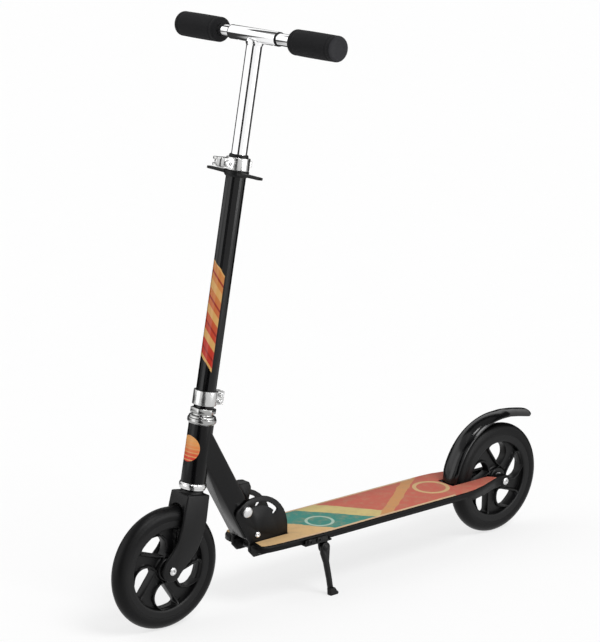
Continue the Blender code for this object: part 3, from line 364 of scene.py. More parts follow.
def printedNeck(name):
    # black coat with a striped round badge on the front of the head tube
    coat = Finish(name, badge["black"], 0.3, Specular_IOR_Level=0.18)
    x, y, s = coat.place(steerFrame)
    around = y.combine("ARCTAN2", y, x) * badge["tube"]
    reach = (around ** 2 + (s - badge["height"]) ** 2) ** 0.5
    disc = 1 - reach.rise(badge["radius"] - 0.2, badge["radius"] + 0.2)
    disc = disc * x.rise(4, 5)
    bands = (s * 0.16).combine("FRACT", s * 0.16)
    ink = coat.mix(s.rise(badge["height"] - 19, badge["height"] + 18), badge["low"], badge["high"])
    ink = coat.mix(bands.band(0.0, 0.3, 0.03), ink, badge["stripe"])
    coat.set("Base Color", coat.mix(disc, badge["black"], ink))
    coat.set("Roughness", 0.17 + coat.grain(22, 3) * 0.08)
    coat.relief(coat.grain(650, 2) + disc * 0.6, 0.05, 0.5)
    return coat.material


finishes = {
    "powder": powderCoat("blackPowderCoat"),
    "deck": powderCoat("blackDeckCoat", (0.002, 0.002, 0.0022), 0.5, 0.11),
    "wheel": mouldedPlastic("blackWheelNylon", (0.003, 0.003, 0.0033), 0.4),
    "plastic": mouldedPlastic("blackClipPlastic", (0.003, 0.003, 0.0034), 0.4),
    "fender": mouldedPlastic("glossyFender", (0.001, 0.001, 0.0014), 0.15, 0.6, 0.33),
    "rubber": mouldedPlastic("standFootRubber", (0.003, 0.003, 0.003), 0.7),
    "tyre": wheelUrethane("wheelUrethane"),
    "foam": gripFoam("gripFoam"),
    "chrome": chromePlate("chromePlate"),
    "alloy": brushedAlloy("brushedAlloy"),
    "steel": platedSteel("zincPlatedSteel"),
    "bright": platedSteel("brightSteel", (0.78, 0.78, 0.78), 0.26),
    "polish": platedSteel("polishedRing", (0.66, 0.66, 0.655), 0.17),
    "satin": platedSteel("satinRing", (0.36, 0.36, 0.355), 0.2),
    "spring": platedSteel("springSteel", (0.34, 0.34, 0.36), 0.4, 0.0),
    "dark": platedSteel("blackenedSteel", (0.09, 0.09, 0.095), 0.42),
    "tape": printedTape("printedGripTape"),
    "column": printedColumn("printedColumnCoat"),
    "neck": printedNeck("badgedNeckCoat"),
}
print("finishes ready:", len(finishes))


# surfaces

rebuilt = set()  # solids that a piece of this script stands for


def softCorners(corners, reach, steps=4):
    # every inner corner c becomes the curve (1-t)^2 a + 2t(1-t) c + t^2 b, with a and b at a reach from it
    points = np.asarray(corners, float)
    t = np.linspace(0, 1, steps + 1)[:, None]
    rows = [points[:1]]
    for before, here, after in zip(points[:-2], points[1:-1], points[2:]):
        near, far = before - here, after - here
        nearReach = min(reach, 0.45 * np.linalg.norm(near))
        farReach = min(reach, 0.45 * np.linalg.norm(far))
        a = here + near / max(np.linalg.norm(near), 1e-9) * nearReach
        b = here + far / max(np.linalg.norm(far), 1e-9) * farReach
        rows.append((1 - t) ** 2 * a + 2 * t * (1 - t) * here + t ** 2 * b)
    rows.append(points[-1:])
    return np.concatenate(rows)


def turnedGrid(profile, steps, along="Z"):
    # x = r cos a, y = r sin a, z = h for each profile point (r, h), or the same about Y
    r, h = np.asarray(profile, float).T
    a = np.linspace(0, 2 * np.pi, steps, endpoint=False)
    flat = np.ones_like(a)
    first, second, third = np.outer(r, np.cos(a)), np.outer(r, np.sin(a)), np.outer(h, flat)
    if along == "Y":
        return np.stack([first, third, second], axis=-1)
    return np.stack([first, second, third], axis=-1)


def gridFaces(rows, columns, closeRows=False, closeColumns=True):
    # quads between neighbouring rows and columns of a grid of points
    i = np.arange(rows if closeRows else rows - 1)[:, None]
    j = np.arange(columns if closeColumns else columns - 1)[None, :]
    nextRow, nextColumn = (i + 1) % rows, (j + 1) % columns
    quads = [i * columns + j, i * columns + nextColumn]
    quads += [nextRow * columns + nextColumn, nextRow * columns + j]
    return np.stack(np.broadcast_arrays(*quads), axis=-1).reshape(-1, 4)


def settle(mesh, smoothAngle, turnOut=True):
    # doubles merged, so that seams and poles are closed, and faces turned outwards
    shape = bmesh.new()
    shape.from_mesh(mesh)
    bmesh.ops.remove_doubles(shape, verts=shape.verts, dist=2e-6)
    bmesh.ops.dissolve_degenerate(shape, edges=shape.edges, dist=1e-6)
    if turnOut:
        bmesh.ops.recalc_face_normals(shape, faces=shape.faces)
    shape.to_mesh(mesh)
    shape.free()
    mesh.shade_smooth()
    mesh.set_sharp_from_angle(angle=math.radians(smoothAngle))


def gridMesh(name, grids, placeFrame, closeRows=False, smoothAngle=32):
    # one mesh of one or more grids of points in millimetres, each closed around its columns
    grids = grids if isinstance(grids, list) else [grids]
    points, faces, start = [], [], 0
    for grid in grids:
        rows, columns = grid.shape[:2]
        points.append(grid.reshape(-1, 3) * mm @ placeFrame[:3, :3].T + placeFrame[:3, 3])
        faces.append(gridFaces(rows, columns, closeRows) + start)
        start += rows * columns
    points, faces = np.concatenate(points), np.concatenate(faces)
    mesh = bpy.data.meshes.new(name)
    mesh.vertices.add(len(points))
    mesh.vertices.foreach_set("co", points.ravel())
    mesh.loops.add(faces.size)
    mesh.loops.foreach_set("vertex_index", faces.ravel())
    mesh.polygons.add(len(faces))
    mesh.polygons.foreach_set("loop_start", np.arange(len(faces)) * 4)
    mesh.update(calc_edges=True)
    settle(mesh, smoothAngle)
    return mesh


def drilled(mesh, placeFrame, at, radius, low, high):
    # the mesh less a round rod along Z
    rod = np.array([(0, low), (radius, low), (radius, high), (0, high)])
    rodMesh = gridMesh("drill", turnedGrid(rod, 32) + np.array(at, float), placeFrame)
    blank, drill = (bpy.data.objects.new(part.name, part) for part in (mesh, rodMesh))
    for part in (blank, drill):
        bpy.context.scene.collection.objects.link(part)
    cut = blank.modifiers.new("hole", "BOOLEAN")
    cut.operation, cut.solver, cut.object = "DIFFERENCE", "EXACT", drill
    left = bpy.data.meshes.new_from_object(blank.evaluated_get(bpy.context.evaluated_depsgraph_get()))
    for part in (blank, drill):
        bpy.data.objects.remove(part)
    left.name = mesh.name
    settle(left, 32)
    return left


def addPiece(name, grids, placeFrame, body, finish, slotName, replaces=(), closeRows=False, smoothAngle=32):
    mesh = gridMesh(name, grids, placeFrame, closeRows, smoothAngle)
    return keep(name, mesh, body, finish, replaces)


def wallLoop(inner, outer, low, high):
    # a plain tube's wall
    return [(inner, low), (outer, low), (outer, high), (inner, high)]


def addTurned(name, corners, placeFrame, body, finish, slotName, replaces=(), along="Z", reach=0.35,
              steps=96, at=(0, 0, 0)):
    # a closed profile of radius and height with rounded corners, turned about its axis
    loop = np.asarray(corners + corners[:1], float)
    middle = (loop[0] + loop[1]) / 2
    profile = softCorners([middle, *loop[1:], middle], reach, 3)[:-1]
    grid = turnedGrid(profile, steps, along) + np.array(at, float)
    addPiece(name, grid, placeFrame, body, finish, slotName, replaces, closeRows=True)


def addBolt(name, radius, height, shank, reach, placeFrame, body, finish, at, start, replaces=(),
            socket=0.42):
    # a domed head with a round socket and a shank, along Y from where the head sits
    hole = radius * socket
    corners = [(0.01, height * 0.35), (hole, height * 0.35), (hole, height), (radius * 0.72, height),
               (radius, height * 0.5), (radius, 0), (shank, 0), (shank, -reach), (0.01, -reach)]
    corners = [(r, start + h) for r, h in corners]
    soft = min(0.4, height * 0.2)
    addTurned(name, corners, placeFrame, body, finish, "steel", replaces, "Y", soft, 48, at)


def addNut(name, radius, bore, low, high, placeFrame, body, finish, at, replaces):
    loop = wallLoop(bore, radius, low, high)
    addTurned(name, loop, placeFrame, body, finish, "steel", replaces, "Y", 0.8, 48, at)


def keep(name, mesh, body, finish, replaces=()):
    mesh.materials.clear()
    mesh.materials.append(finishes[finish])
    piece = bpy.data.objects.new(name, mesh)
    bpy.context.scene.collection.objects.link(piece)
    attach(piece, body)
    if replaces:
        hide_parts(*replaces)
        rebuilt.update(replaces)
    return piece


def smoothCopy(node, finish, smoothAngle=32):
    # the solid's own mesh, merged and shaded smooth
    bodies = frame["record"]["behaviour"]["bodies"]
    body = next(name for name, members in bodies.items() if node in members)
    mesh = frame["nodes"][node].data.copy()
    settle(mesh, smoothAngle, False)
    keep(f"{node}_finished", mesh, body, finish, [node])


# tyres: a round crown, a faint parting ridge and a small step at the rim

tyre = {
    "radius": 100.0, "half": 14.0, "seat": 79.7, "arc": 84, "ridge": 0.12, "ridgeWidth": 2.5, "steps": 160,
}


def tyreProfile():
    # crown: r = R - ridge - c + c cos a + ridge * exp(-(a / width)^2), h = c sin a; flat sides in to the seat
    degrees = np.linspace(-tyre["arc"], tyre["arc"], 57)
    a = np.radians(degrees)
    crown, seat = tyre["half"], tyre["seat"]
    ridge = tyre["ridge"] * (np.exp(-(degrees / tyre["ridgeWidth"]) ** 2) - 1)
    r = tyre["radius"] - crown + crown * np.cos(a) + ridge
    side = np.array([(seat + 6.3, crown), (seat + 3.3, crown - 0.35), (seat + 1.1, crown - 0.8),
                     (seat + 0.05, crown - 1.05), (seat, crown - 1.7)])
    return np.concatenate([side[::-1] * (1, -1), np.stack([r, crown * np.sin(a)], axis=-1), side])


for name, hub in hubs.items():
    grid = turnedGrid(tyreProfile(), tyre["steps"], "Y")
    addPiece(f"{name}_tyre_skin", grid, hub, f"{name}_wheel", "tyre", "tyre", [f"{name}_tyre"], True)
print("tyres made")


# wheel cores: a rim and a hub turned about the axle, and five spokes with raised edges and sunk middles

core = {
    "phases": {"front": 36.3, "rear": 70.5}, "spokes": 5, "inner": 18.6, "outer": 68.6,
    "windowInner": 22.5, "windowOuter": 65.4, "windowTurn": 39,
    "bulgeRadii": (22.5, 29, 42, 56, 65.4), "bulgeAngles": (39, 46, 49.5, 42, 31),  # the curved edge's points
    "web": 3.5, "rail": 8.0, "railWidth": 3.6, "railSlope": 1.8, "rimRise": 3.2, "hubRise": 3.0, "round": 0.8,
    "rows": 30, "across": 25, "rimSeat": 79.68, "rimHalf": 12.9, "hubBore": 8.0, "bearingSeat": 11.35,
}


def polarPoints(radius, angle):
    return np.stack([radius * np.cos(np.radians(angle)), radius * np.sin(np.radians(angle))], axis=-1)


def spokeGrid(start):
    # the straight edge runs on the chord between two windows' corners, the other on a quartic angle(r);
    # height = web + (crown - web) * (rail shape), the rail shape being 1 at both edges and 0 in the middle
    low, high = core["windowInner"], core["windowOuter"]
    r = np.linspace(core["inner"], core["outer"], core["rows"])
    near, far = polarPoints(low, start + core["windowTurn"]), polarPoints(high, start)
    chord = near + (far - near) * np.linspace(-0.12, 1.05, 200)[:, None]
    chordRadius = np.hypot(chord[:, 0], chord[:, 1])
    first = int(np.argmin(chordRadius))
    straight = np.degrees(np.unwrap(np.arctan2(chord[first:, 1], chord[first:, 0])))
    leading = np.interp(r, chordRadius[first:], straight)
    leading = start + (leading - start + 180) % 360 - 180
    bulge = np.polyfit(core["bulgeRadii"], core["bulgeAngles"], 4)
    trailing = start - 360 / core["spokes"] + np.polyval(bulge, np.clip(r, low, high))
    # both edges flare out into the hub and the rim, in millimetres of arc
    hubFlare = 3.0 * np.exp((low - r) / 2.0)
    trailing = trailing - np.degrees((hubFlare + 3.6 * np.exp((r - high) / 3.0)) / r)
    leading = leading + np.degrees((hubFlare + 1.6 * np.exp((r - high) / 1.6)) / r)
    width = (np.radians(leading - trailing) * r)[:, None]
    v = (1 - np.cos(np.pi * np.linspace(0, 1, core["across"]))) / 2
    fromEdge = np.minimum(v, 1 - v)[None, :] * width
    slope = np.clip((fromEdge - core["railWidth"]) / core["railSlope"], 0, 1)
    rise = core["rimRise"] * np.clip((r - 58) / 9, 0, 1) ** 2
    rise = rise + core["hubRise"] * np.clip((29 - r) / 8, 0, 1) ** 2
    crown = core["rail"] + rise[:, None]
    height = core["web"] + (crown - core["web"]) * (1 - slope ** 2 * (3 - 2 * slope))
    height = height - core["round"] * np.clip(1 - fromEdge / core["round"], 0, 1) ** 2
    flat = polarPoints(r[:, None], trailing[:, None] + (leading - trailing)[:, None] * v[None, :])
    top = np.stack([flat[..., 0], height, flat[..., 1]], axis=-1)
    return closedEnds(np.concatenate([top, top[:, ::-1] * (1, -1, 1)], axis=1))


def closedEnds(loop):
    # the first and last rows once more, drawn in to their middles
    ends = [np.broadcast_to(loop[i].mean(axis=0), loop[i].shape)[None] for i in (0, -1)]
    return np.concatenate([ends[0], loop, ends[1]])


def mirroredLoop(half):
    # a closed profile from its upper half
    return half + [(r, -h) for r, h in reversed(half)]


seat, half = core["rimSeat"], core["rimHalf"]
rimLoop = mirroredLoop([(seat, half - 0.5), (seat, half), (79.0, half), (70.0, 12.6), (67.2, 11.2),
                        (66.4, 5.6), (65.3, 3.9)])
bore, bearing = core["hubBore"], core["bearingSeat"]
hubLoop = mirroredLoop([(bore, 5.3), (bearing, 5.3), (bearing, 12.2), (17.6, 12.2), (19.2, 10.6), (20.4, 5.4),
                        (23.0, 4.0)])
for name, hub in hubs.items():
    wheel = (hub, f"{name}_wheel", "wheel", "black_plastic")
    addTurned(f"{name}_wheel_rim", rimLoop, *wheel, [f"{name}_wheel_core"], "Y", 1.4, 128)
    addTurned(f"{name}_wheel_hub", hubLoop, *wheel, (), "Y", 0.8, 96)
    turns = [core["phases"][name] + 360 / core["spokes"] * index for index in range(core["spokes"])]
    addPiece(f"{name}_wheel_spokes", [spokeGrid(turn) for turn in turns], *wheel)
print("wheel cores made")


# head tube's skin, headset rings and the lower collar, heights along the steering axis

headset = {
    "bottom": 139.0, "top": 233.5, "bore": 15.6, "skirt": 17.2, "tubeInner": 17.4, "skin": 20.15,
    "columnBore": 16.06, "collarLow": 264.5, "collarHigh": 287.5, "collarRadius": 19.2, "earEnd": -32.5,
    "earHalf": 8.0, "earGap": 1.5, "screwBack": -25.0, "screws": {"lower": 270.2, "upper": 281.6},
}
low, high, bore, skirt = (headset[key] for key in ("bottom", "top", "bore", "skirt"))
lowerCup = [(bore, low - 2), (19.0, low - 2), (19.0, low - 10.6), (20.6, low - 10.6), (20.6, low - 7.4),
            (22.0, low - 7.4), (22.0, low - 2.2), (21.0, low - 1.6), (21.0, low - 0.3), (skirt, low - 0.3),
            (skirt, low + 7), (bore, low + 7)]
upperCup = [(bore, high - 9), (skirt, high - 9), (skirt, high + 0.3), (20.5, high + 0.3),
            (23.2, high + 3.6), (23.2, high + 9.3), (21.6, high + 9.5), (19.0, high + 9.5),
            (19.0, high + 2.4), (bore, high + 2.4)]
adjuster = [(13.8, high + 9.5), (18.4, high + 9.5), (22.4, high + 9.9), (21.2, high + 13.4),
            (17.6, high + 14.4), (17.2, high + 17.0), (13.8, high + 17.0)]
bushing = [(12.8, 640.0), (13.5, 640.0), (13.5, 656.8), (15.2, 656.8), (15.2, 660.0), (14.2, 661.9),
           (12.8, 661.9)]


def loftGrid(rows, steps=48):
    # |x/a|^8 + |y/b|^8 = 1 between each row's limits (x0, x1, y0, y1) at its height, closed at both ends
    rows = np.asarray(rows, float)
    rows = np.concatenate([rows[:1], rows, rows[-1:]])
    a = np.linspace(0, 2 * np.pi, steps, endpoint=False)
    ring = np.stack([np.cos(a), np.sin(a)], axis=-1)
    ring = np.sign(ring) * np.abs(ring) ** 0.25
    half = (rows[:, [1, 3]] - rows[:, [0, 2]]) / 2
    half[[0, -1]] = 0
    flat = ring[None] * half[:, None, :] + (rows[:, [1, 3]] + rows[:, [0, 2]])[:, None, :] / 2
    height = np.broadcast_to(rows[:, 4][:, None], flat.shape[:2])
    return np.concatenate([flat, height[..., None]], axis=-1)


def blockGrid(x, y, s, soft=0.6):
    inner = (x[0] + soft, x[1] - soft, y[0] + soft, y[1] - soft)
    return loftGrid([(*inner, s[0]), (*x, *y, s[0] + soft), (*x, *y, s[1] - soft), (*inner, s[1])])


skin = wallLoop(headset["tubeInner"], headset["skin"], low, high)
band = wallLoop(headset["columnBore"], headset["collarRadius"], headset["collarLow"], headset["collarHigh"])
metal, plastic = "brushed_aluminium", (steerFrame, "fork", "plastic", "black_plastic")
alloy = (steerFrame, "fork", "alloy", metal)
addTurned("head_tube_skin", skin, steerFrame, "neck", "neck", "black_paint", reach=0.3)
addTurned("lower_cup_ring", lowerCup, steerFrame, "neck", "polish", metal, ["lower_headset_cup"], reach=0.6)
addTurned("upper_cup_ring", upperCup, steerFrame, "neck", "satin", metal, ["upper_headset_cup"], reach=1.2)
addTurned("adjusting_ring", adjuster, steerFrame, "fork", "satin", metal, ["headset_adjusting_nut"],
          reach=0.8)
addTurned("collar_band", band, *alloy, ["lower_collar"], reach=0.5)
earHeights = (headset["collarLow"] + 0.6, headset["collarHigh"] - 0.8)
earWidths = [(headset["earGap"], headset["earHalf"]), (-headset["earHalf"], -headset["earGap"])]
ears = [blockGrid((headset["earEnd"], -17.4), width, earHeights) for width in earWidths]
addPiece("collar_ears", ears, *alloy)
addTurned("stem_bushing", bushing, *plastic, ["tube_bushing"], reach=0.5)
print("headset made")


# the winged clip ring under the top clamp, and the side stand's foot

clip = {
    "low": 627.0, "high": 637.1, "bore": 16.06, "collar": 17.2, "radius": 19.6, "thick": 4.8, "middle": 632.3,
    "forward": 4.0,
    # half width, share of the thickness and place along Y
    "wing": [(8.2, 1.0, 15.5), (6.4, 1.0, 24), (4.4, 0.96, 50), (4.6, 0.96, 60), (3.6, 0.85, 64.4),
             (1.6, 0.5, 66)],
}
stand = {
    "footX": 69.6, "footY": 14.4, "screws": {"rear": 98.0, "front": 117.5},
    # x0, x1, y0, y1 and height
    "foot": [(-7.0, 9.0, -4.6, 4.2, 0.0), (-8.2, 9.8, -5.2, 4.8, 1.2), (-8.0, 9.9, -5.2, 4.8, 4.0),
             (-4.6, 9.9, -5.2, 4.9, 7.0), (-1.6, 10.0, -5.2, 4.9, 11.4), (-0.8, 9.4, -4.8, 4.5, 12.4)],
}
clipLoop = [(clip["bore"], clip["low"]), (clip["collar"], clip["low"]), (clip["radius"], clip["low"] + 3.4),
            (clip["radius"], clip["high"] - 1.1), (clip["radius"] - 0.8, clip["high"]),
            (clip["bore"], clip["high"])]
addTurned("clip_ring", clipLoop, *plastic, ["grip_clip_ring"], reach=0.5)
rows = []
for wide, share, y in clip["wing"]:
    thick = share * clip["thick"] / 2
    rows.append((clip["forward"] - wide, clip["forward"] + wide, -thick, thick, y))
# a wing is lofted along Y: the grid's height is y, and its two flat axes are x and s
wing = loftGrid(rows)[..., [0, 2, 1]] + (0, 0, clip["middle"])
addPiece("clip_wings", [wing, wing * (1, -1, 1)], *plastic)
footFrame = shifted4(stand["footX"], stand["footY"])
addPiece("stand_foot_cap", loftGrid(stand["foot"]), footFrame, "kickstand", "rubber", "foot_rubber",
         ["kickstand_foot"], smoothAngle=50)
print("clip and foot made")


# top clamp: a band, two pinch ears and a stop at the back

topClamp = {
    "low": 637.3, "high": 656.8, "radius": 19.0, "bore": 16.06, "ears": (15.6, 35.0), "earWidth": (1.4, 9.0),
    "earHeight": (639.0, 655.0), "stop": (-25.5, -17.6), "stopHalf": 4.5,
}
clampLoop = wallLoop(topClamp["bore"], topClamp["radius"], topClamp["low"], topClamp["high"])
addTurned("clamp_band", clampLoop, *alloy, ["top_clamp"], reach=0.8)
leftEar = blockGrid(topClamp["ears"], topClamp["earHeight"], topClamp["earWidth"], 0.5)[..., [0, 2, 1]]
stopHeight = (topClamp["low"] + 5, topClamp["high"] - 4)
stop = blockGrid(topClamp["stop"], (-topClamp["stopHalf"], topClamp["stopHalf"]), stopHeight, 0.8)
addPiece("clamp_ears", [leftEar, leftEar * (1, -1, 1), stop], *alloy)
print("top clamp made")


# bolts, nuts and the lock pin's knob

centre, pinPlace, screwBack = (0, 0, 0), (0, 0, 52), headset["screwBack"]
# head radius and height, shank radius and length, frame, body, finish, place, seat along Y, solid, socket
bolts = {
    "front_axle_bolt": (6.5, 2.6, 4.0, 50.7, frontHubFrame, "fork", "steel", centre, 22.6, ["front_axle"]),
    "rear_axle_bolt": (6.5, 2.6, 4.0, 68.1, rearHubFrame, "deck", "steel", centre, 31.3, ["rear_axle"]),
    "pivot_bolt_head": (5.2, 3.0, 4.0, 53.6, pivotFrame, "deck", "bright", centre, 24.3, ["fold_pivot_bolt"]),
    "clamp_side_screw": (3.6, 1.2, 1.4, 2.0, steerFrame, "fork", "steel", (15.2, 0, 647.2), 9.1, (), 0.5),
}
for name, s in headset["screws"].items():
    bolts[f"collar_screw_{name}"] = (4.4, 4.6, 2.5, 19.5, steerFrame, "fork", "bright",
                                     (screwBack, 0, s), 8.3, [f"collar_bolt_{name}"], 0.5)
for name, x in stand["screws"].items():
    bolts[f"stand_screw_{name}"] = (5.0, 2.4, 2.5, 8.4, uprightFrame, "deck", "powder", (x, 0, 103.4), 61.6,
                                    [f"kickstand_screw_{name}"])
# radius, bore, low and high along Y, frame, body, finish, place, solid
nuts = {
    "front_axle_cap": (6.6, 4.15, -27.6, -22.6, frontHubFrame, "fork", "steel", centre, ["front_axle_nut"]),
    "rear_axle_cap": (6.6, 4.15, -36.3, -31.3, rearHubFrame, "deck", "steel", centre, ["rear_axle_nut"]),
    "lock_knob_nut": (8.4, 3.15, -29.7, -24.3, neckFrame, "fold_lock", "bright", pinPlace, ["lock_pin_nut"]),
    "pivot_bolt_nut": (6.4, 4.15, -28.9, -24.3, neckFrame, "deck", "steel", centre, ["fold_pivot_nut"]),
    "skewer_cap_nut": (6.2, 2.65, 9.3, 15.6, steerFrame, "fork", "bright", (27.0, 0, 647.0),
                       ["clamp_skewer_nut"]),
}
for name, sizes in bolts.items():
    addBolt(name, *sizes)
for name, sizes in nuts.items():
    addNut(name, *sizes)
knob = {"radius": 9.2, "face": 24.3, "end": 34.0, "pin": 3.0, "pinEnd": -29.9}
r, face, end, pin, pinEnd = (knob[key] for key in ("radius", "face", "end", "pin", "pinEnd"))
knobLoop = [(0.01, pinEnd), (pin, pinEnd), (pin, face), (r, face), (r, end - 3.4), (r - 0.6, end - 1.8),
            (r - 2.6, end - 0.6), (3.2, end - 0.1), (0.01, end)]
addTurned("lock_knob", knobLoop, neckFrame, "fold_lock", "steel", "steel", ["lock_pin"], "Y", 0.9, 64,
          pinPlace)
print("bolts made")


# fender: an arched section swept over the wheel and out into a tail, with a bead along both sides

fender = {
    "radius": 117.0, "half": 19.5, "front": 17.2, "wall": 3.4, "crown": 8.2, "bead": 0.4, "beadAt": 0.965,
    "start": 5, "end": 93, "lift": 4.6, "sweep": 80, "across": 33, "bodyRows": 60, "tailRows": 50,
    # along from the axle, up from the crest, narrowing and depth
    "tail": [(-20, 5.4, 0, 9.0), (-42, 3.6, 0, 10.4), (-58, 1.2, 0.2, 11.2), (-70, -1.0, 0.8, 11.4),
             (-76, -2.6, 2.0, 10.0), (-79.6, -5.0, 4.0, 6.4), (-80.8, -8.4, 5.4, 4.2),
             (-80.8, -12.4, 6.0, 3.5)],
    "barrel": (6.6, 17.2), "barrelBore": 2.65, "barrelRadius": 5.0,
}


def fenderStations():
    # crown line: the axle plus (R + lift rise^1.5) (cos a, sin a) from the start angle to the end angle, rise
    # being (a - 20) / 73, then the tail's points; columns x, z, half width and depth, smoothed along the line
    angle = np.linspace(fender["start"], fender["end"], fender["bodyRows"])
    rise = np.clip((angle - 20) / 73, 0, None)
    wide = np.clip((angle - 8) / 10, 0, 1)
    radius = fender["radius"] + fender["lift"] * rise ** 1.5
    spot = polarPoints(radius, angle) + (-stance["axleX"], stance["axleZ"])
    half = fender["front"] + wide ** 2 * (3 - 2 * wide) * (fender["half"] - fender["front"])
    body = np.column_stack([spot, half, np.full_like(half, fender["crown"])])
    along, up, narrow, depth = np.array(fender["tail"]).T
    crest = stance["axleZ"] + fender["radius"]
    tail = np.column_stack([along - stance["axleX"], crest + up, fender["half"] - narrow, depth])
    knots = np.concatenate([body, tail])
    length = np.concatenate([[0], np.cumsum(np.hypot(*np.diff(knots[:, :2], axis=0).T))])
    last = fender["bodyRows"] - 1
    fine = np.concatenate([length[:last + 1], np.linspace(length[last], length[-1], fender["tailRows"])[1:]])
    smooth = np.stack([np.interp(fine, length, column) for column in knots.T], axis=-1)
    kernel = np.array([1, 2, 3, 2, 1]) / 9
    padded = np.pad(smooth, ((2, 2), (0, 0)), mode="reflect", reflect_type="odd")
    return np.stack([np.convolve(column, kernel, "valid") for column in padded.T], axis=-1)


def fenderGrid():
    # every section: outer arc out, inner arc back, square to the crown line; the wall thins to the tail's end
    x, z, half, crown = fenderStations().T
    ahead = np.gradient(np.stack([x, z], axis=-1), axis=0)
    ahead = ahead / np.linalg.norm(ahead, axis=1)[:, None]
    up = np.stack([ahead[:, 1], -ahead[:, 0]], axis=-1)
    across = math.radians(fender["sweep"])
    a = np.linspace(-across, across, fender["across"])
    share = np.sin(a) / math.sin(across)
    sag = (1 - np.cos(a)) / (1 - math.cos(across))
    bead = fender["bead"] * np.exp(-((np.abs(share) - fender["beadAt"]) / 0.03) ** 2)
    left = np.arange(len(x))[::-1] / 2.0
    thin = np.sqrt(np.clip(1 - (1 - np.clip(left, 0, 1)) ** 2, 0.0, 1))
    wall = fender["wall"] / 2
    rows = []
    for offset, direction in ((-1, 1), (1, -1)):
        depth = wall + offset * wall * thin
        inset = depth if offset > 0 else 0 * depth
        side = (half - inset)[:, None] * share[None, ::direction]
        drop = depth[:, None] + (crown - depth)[:, None] * sag[None, ::direction]
        if offset < 0:
            drop = drop - bead[None, :]
        rows.append(np.stack([x[:, None] - up[:, :1] * drop, side, z[:, None] - up[:, 1:] * drop], axis=-1))
    return closedEnds(np.concatenate(rows, axis=1))


addPiece("fender_shell", fenderGrid(), uprightFrame, "fender", "fender", "fender_gloss", ["fender_brake"],
         smoothAngle=50)
for name, side in sides.items():
    near, far = (side * end for end in fender["barrel"])
    barrel = wallLoop(fender["barrelBore"], fender["barrelRadius"], near, far)
    addTurned(f"fender_barrel_{name}", barrel, fenderFrame, "fender", "fender", "fender_gloss", (), "Y", 0.4,
              48)
print("fender made")


# foam grips: a barrel with rolled ends, a shallow waist line near each end, closed outer cap

grips = {
    "radius": 20.0, "bore": 9.95, "start": 90.0, "end": 188.0, "swell": 0.25, "groove": 0.9,
    "grooveWidth": 1.5, "innerLine": 9, "outerLine": 10, "innerRoll": 3.2, "outerRoll": 4.2, "cap": 4.6,
    "steps": 96,
}


def gripProfile():
    # r = R - 0.3 + swell sin(pi t) - groove (exp(-((h-h1)/w)^2) + exp(-((h-h2)/w)^2)), ends rolled in
    start, end = grips["start"], grips["end"]
    innerRoll, outerRoll = grips["innerRoll"], grips["outerRoll"]
    h = np.linspace(start + innerRoll, end - outerRoll, 61)
    t = (h - h[0]) / (h[-1] - h[0])
    places = (start + grips["innerLine"], end - grips["outerLine"])
    lines = sum(np.exp(-((h - place) / grips["grooveWidth"]) ** 2) for place in places)
    r = grips["radius"] - 0.3 + grips["swell"] * np.sin(np.pi * t) - grips["groove"] * lines
    roll = np.radians(np.linspace(0, 90, 8))
    back = roll[::-1]
    inner = np.stack([r[0] - innerRoll * (1 - np.cos(back)), h[0] - innerRoll * np.sin(back)], axis=-1)
    outer = np.stack([r[-1] - outerRoll * (1 - np.cos(roll)), h[-1] + outerRoll * np.sin(roll)], axis=-1)
    cap = [(12.5, end - 0.1), (11.8, end - 0.5), (6, end - 0.8), (0, end - 0.8)]
    bore = [(0, end - grips["cap"]), (grips["bore"], end - grips["cap"]), (grips["bore"], start)]
    return np.concatenate([inner, np.stack([r, h], axis=-1)[1:-1], outer, np.array(cap + bore)])


for name, side in sides.items():
    grid = turnedGrid(gripProfile() * (1, side), grips["steps"], "Y")
    grip = addPiece(f"{name}_foam_grip", grid, gripFrame, f"{name}_bar", "foam", "foam", [f"{name}_grip"],
                    closeRows=True, smoothAngle=50)
print("grips made")


# chrome T bar: stem with its weld, cross sleeve, and the two bars that slide in it

tBar = {
    "stemRadius": 12.5, "stemBore": 11.0, "low": -409.0, "sleeveRadius": 11.15, "sleeveBore": 10.05,
    "sleeveHalf": 56.0, "lipRadius": 11.3, "lipBore": 9.8, "lip": (55.6, 57.4), "barRadius": 9.65,
    "barBore": 8.2, "barStart": 5.0, "barEnd": 183.0, "steps": 96, "buttonY": 42.0, "buttonHole": 3.4,
    # the weld under the sleeve
    "weld": [(14.0, -12.6), (14.5, -9.5), (13.5, -6.5), (10.6, -4.5)],
}


def tubeGrid(radius, bore, low, high):
    # a tube along Y with softened rims, from the middle of its bore round to the same place
    middle = (bore, (low + high) / 2)
    corners = [middle, (bore, low), (radius, low), (radius, high), (bore, high), middle]
    return turnedGrid(softCorners(corners, 0.35, 3)[:-1], tBar["steps"], "Y")


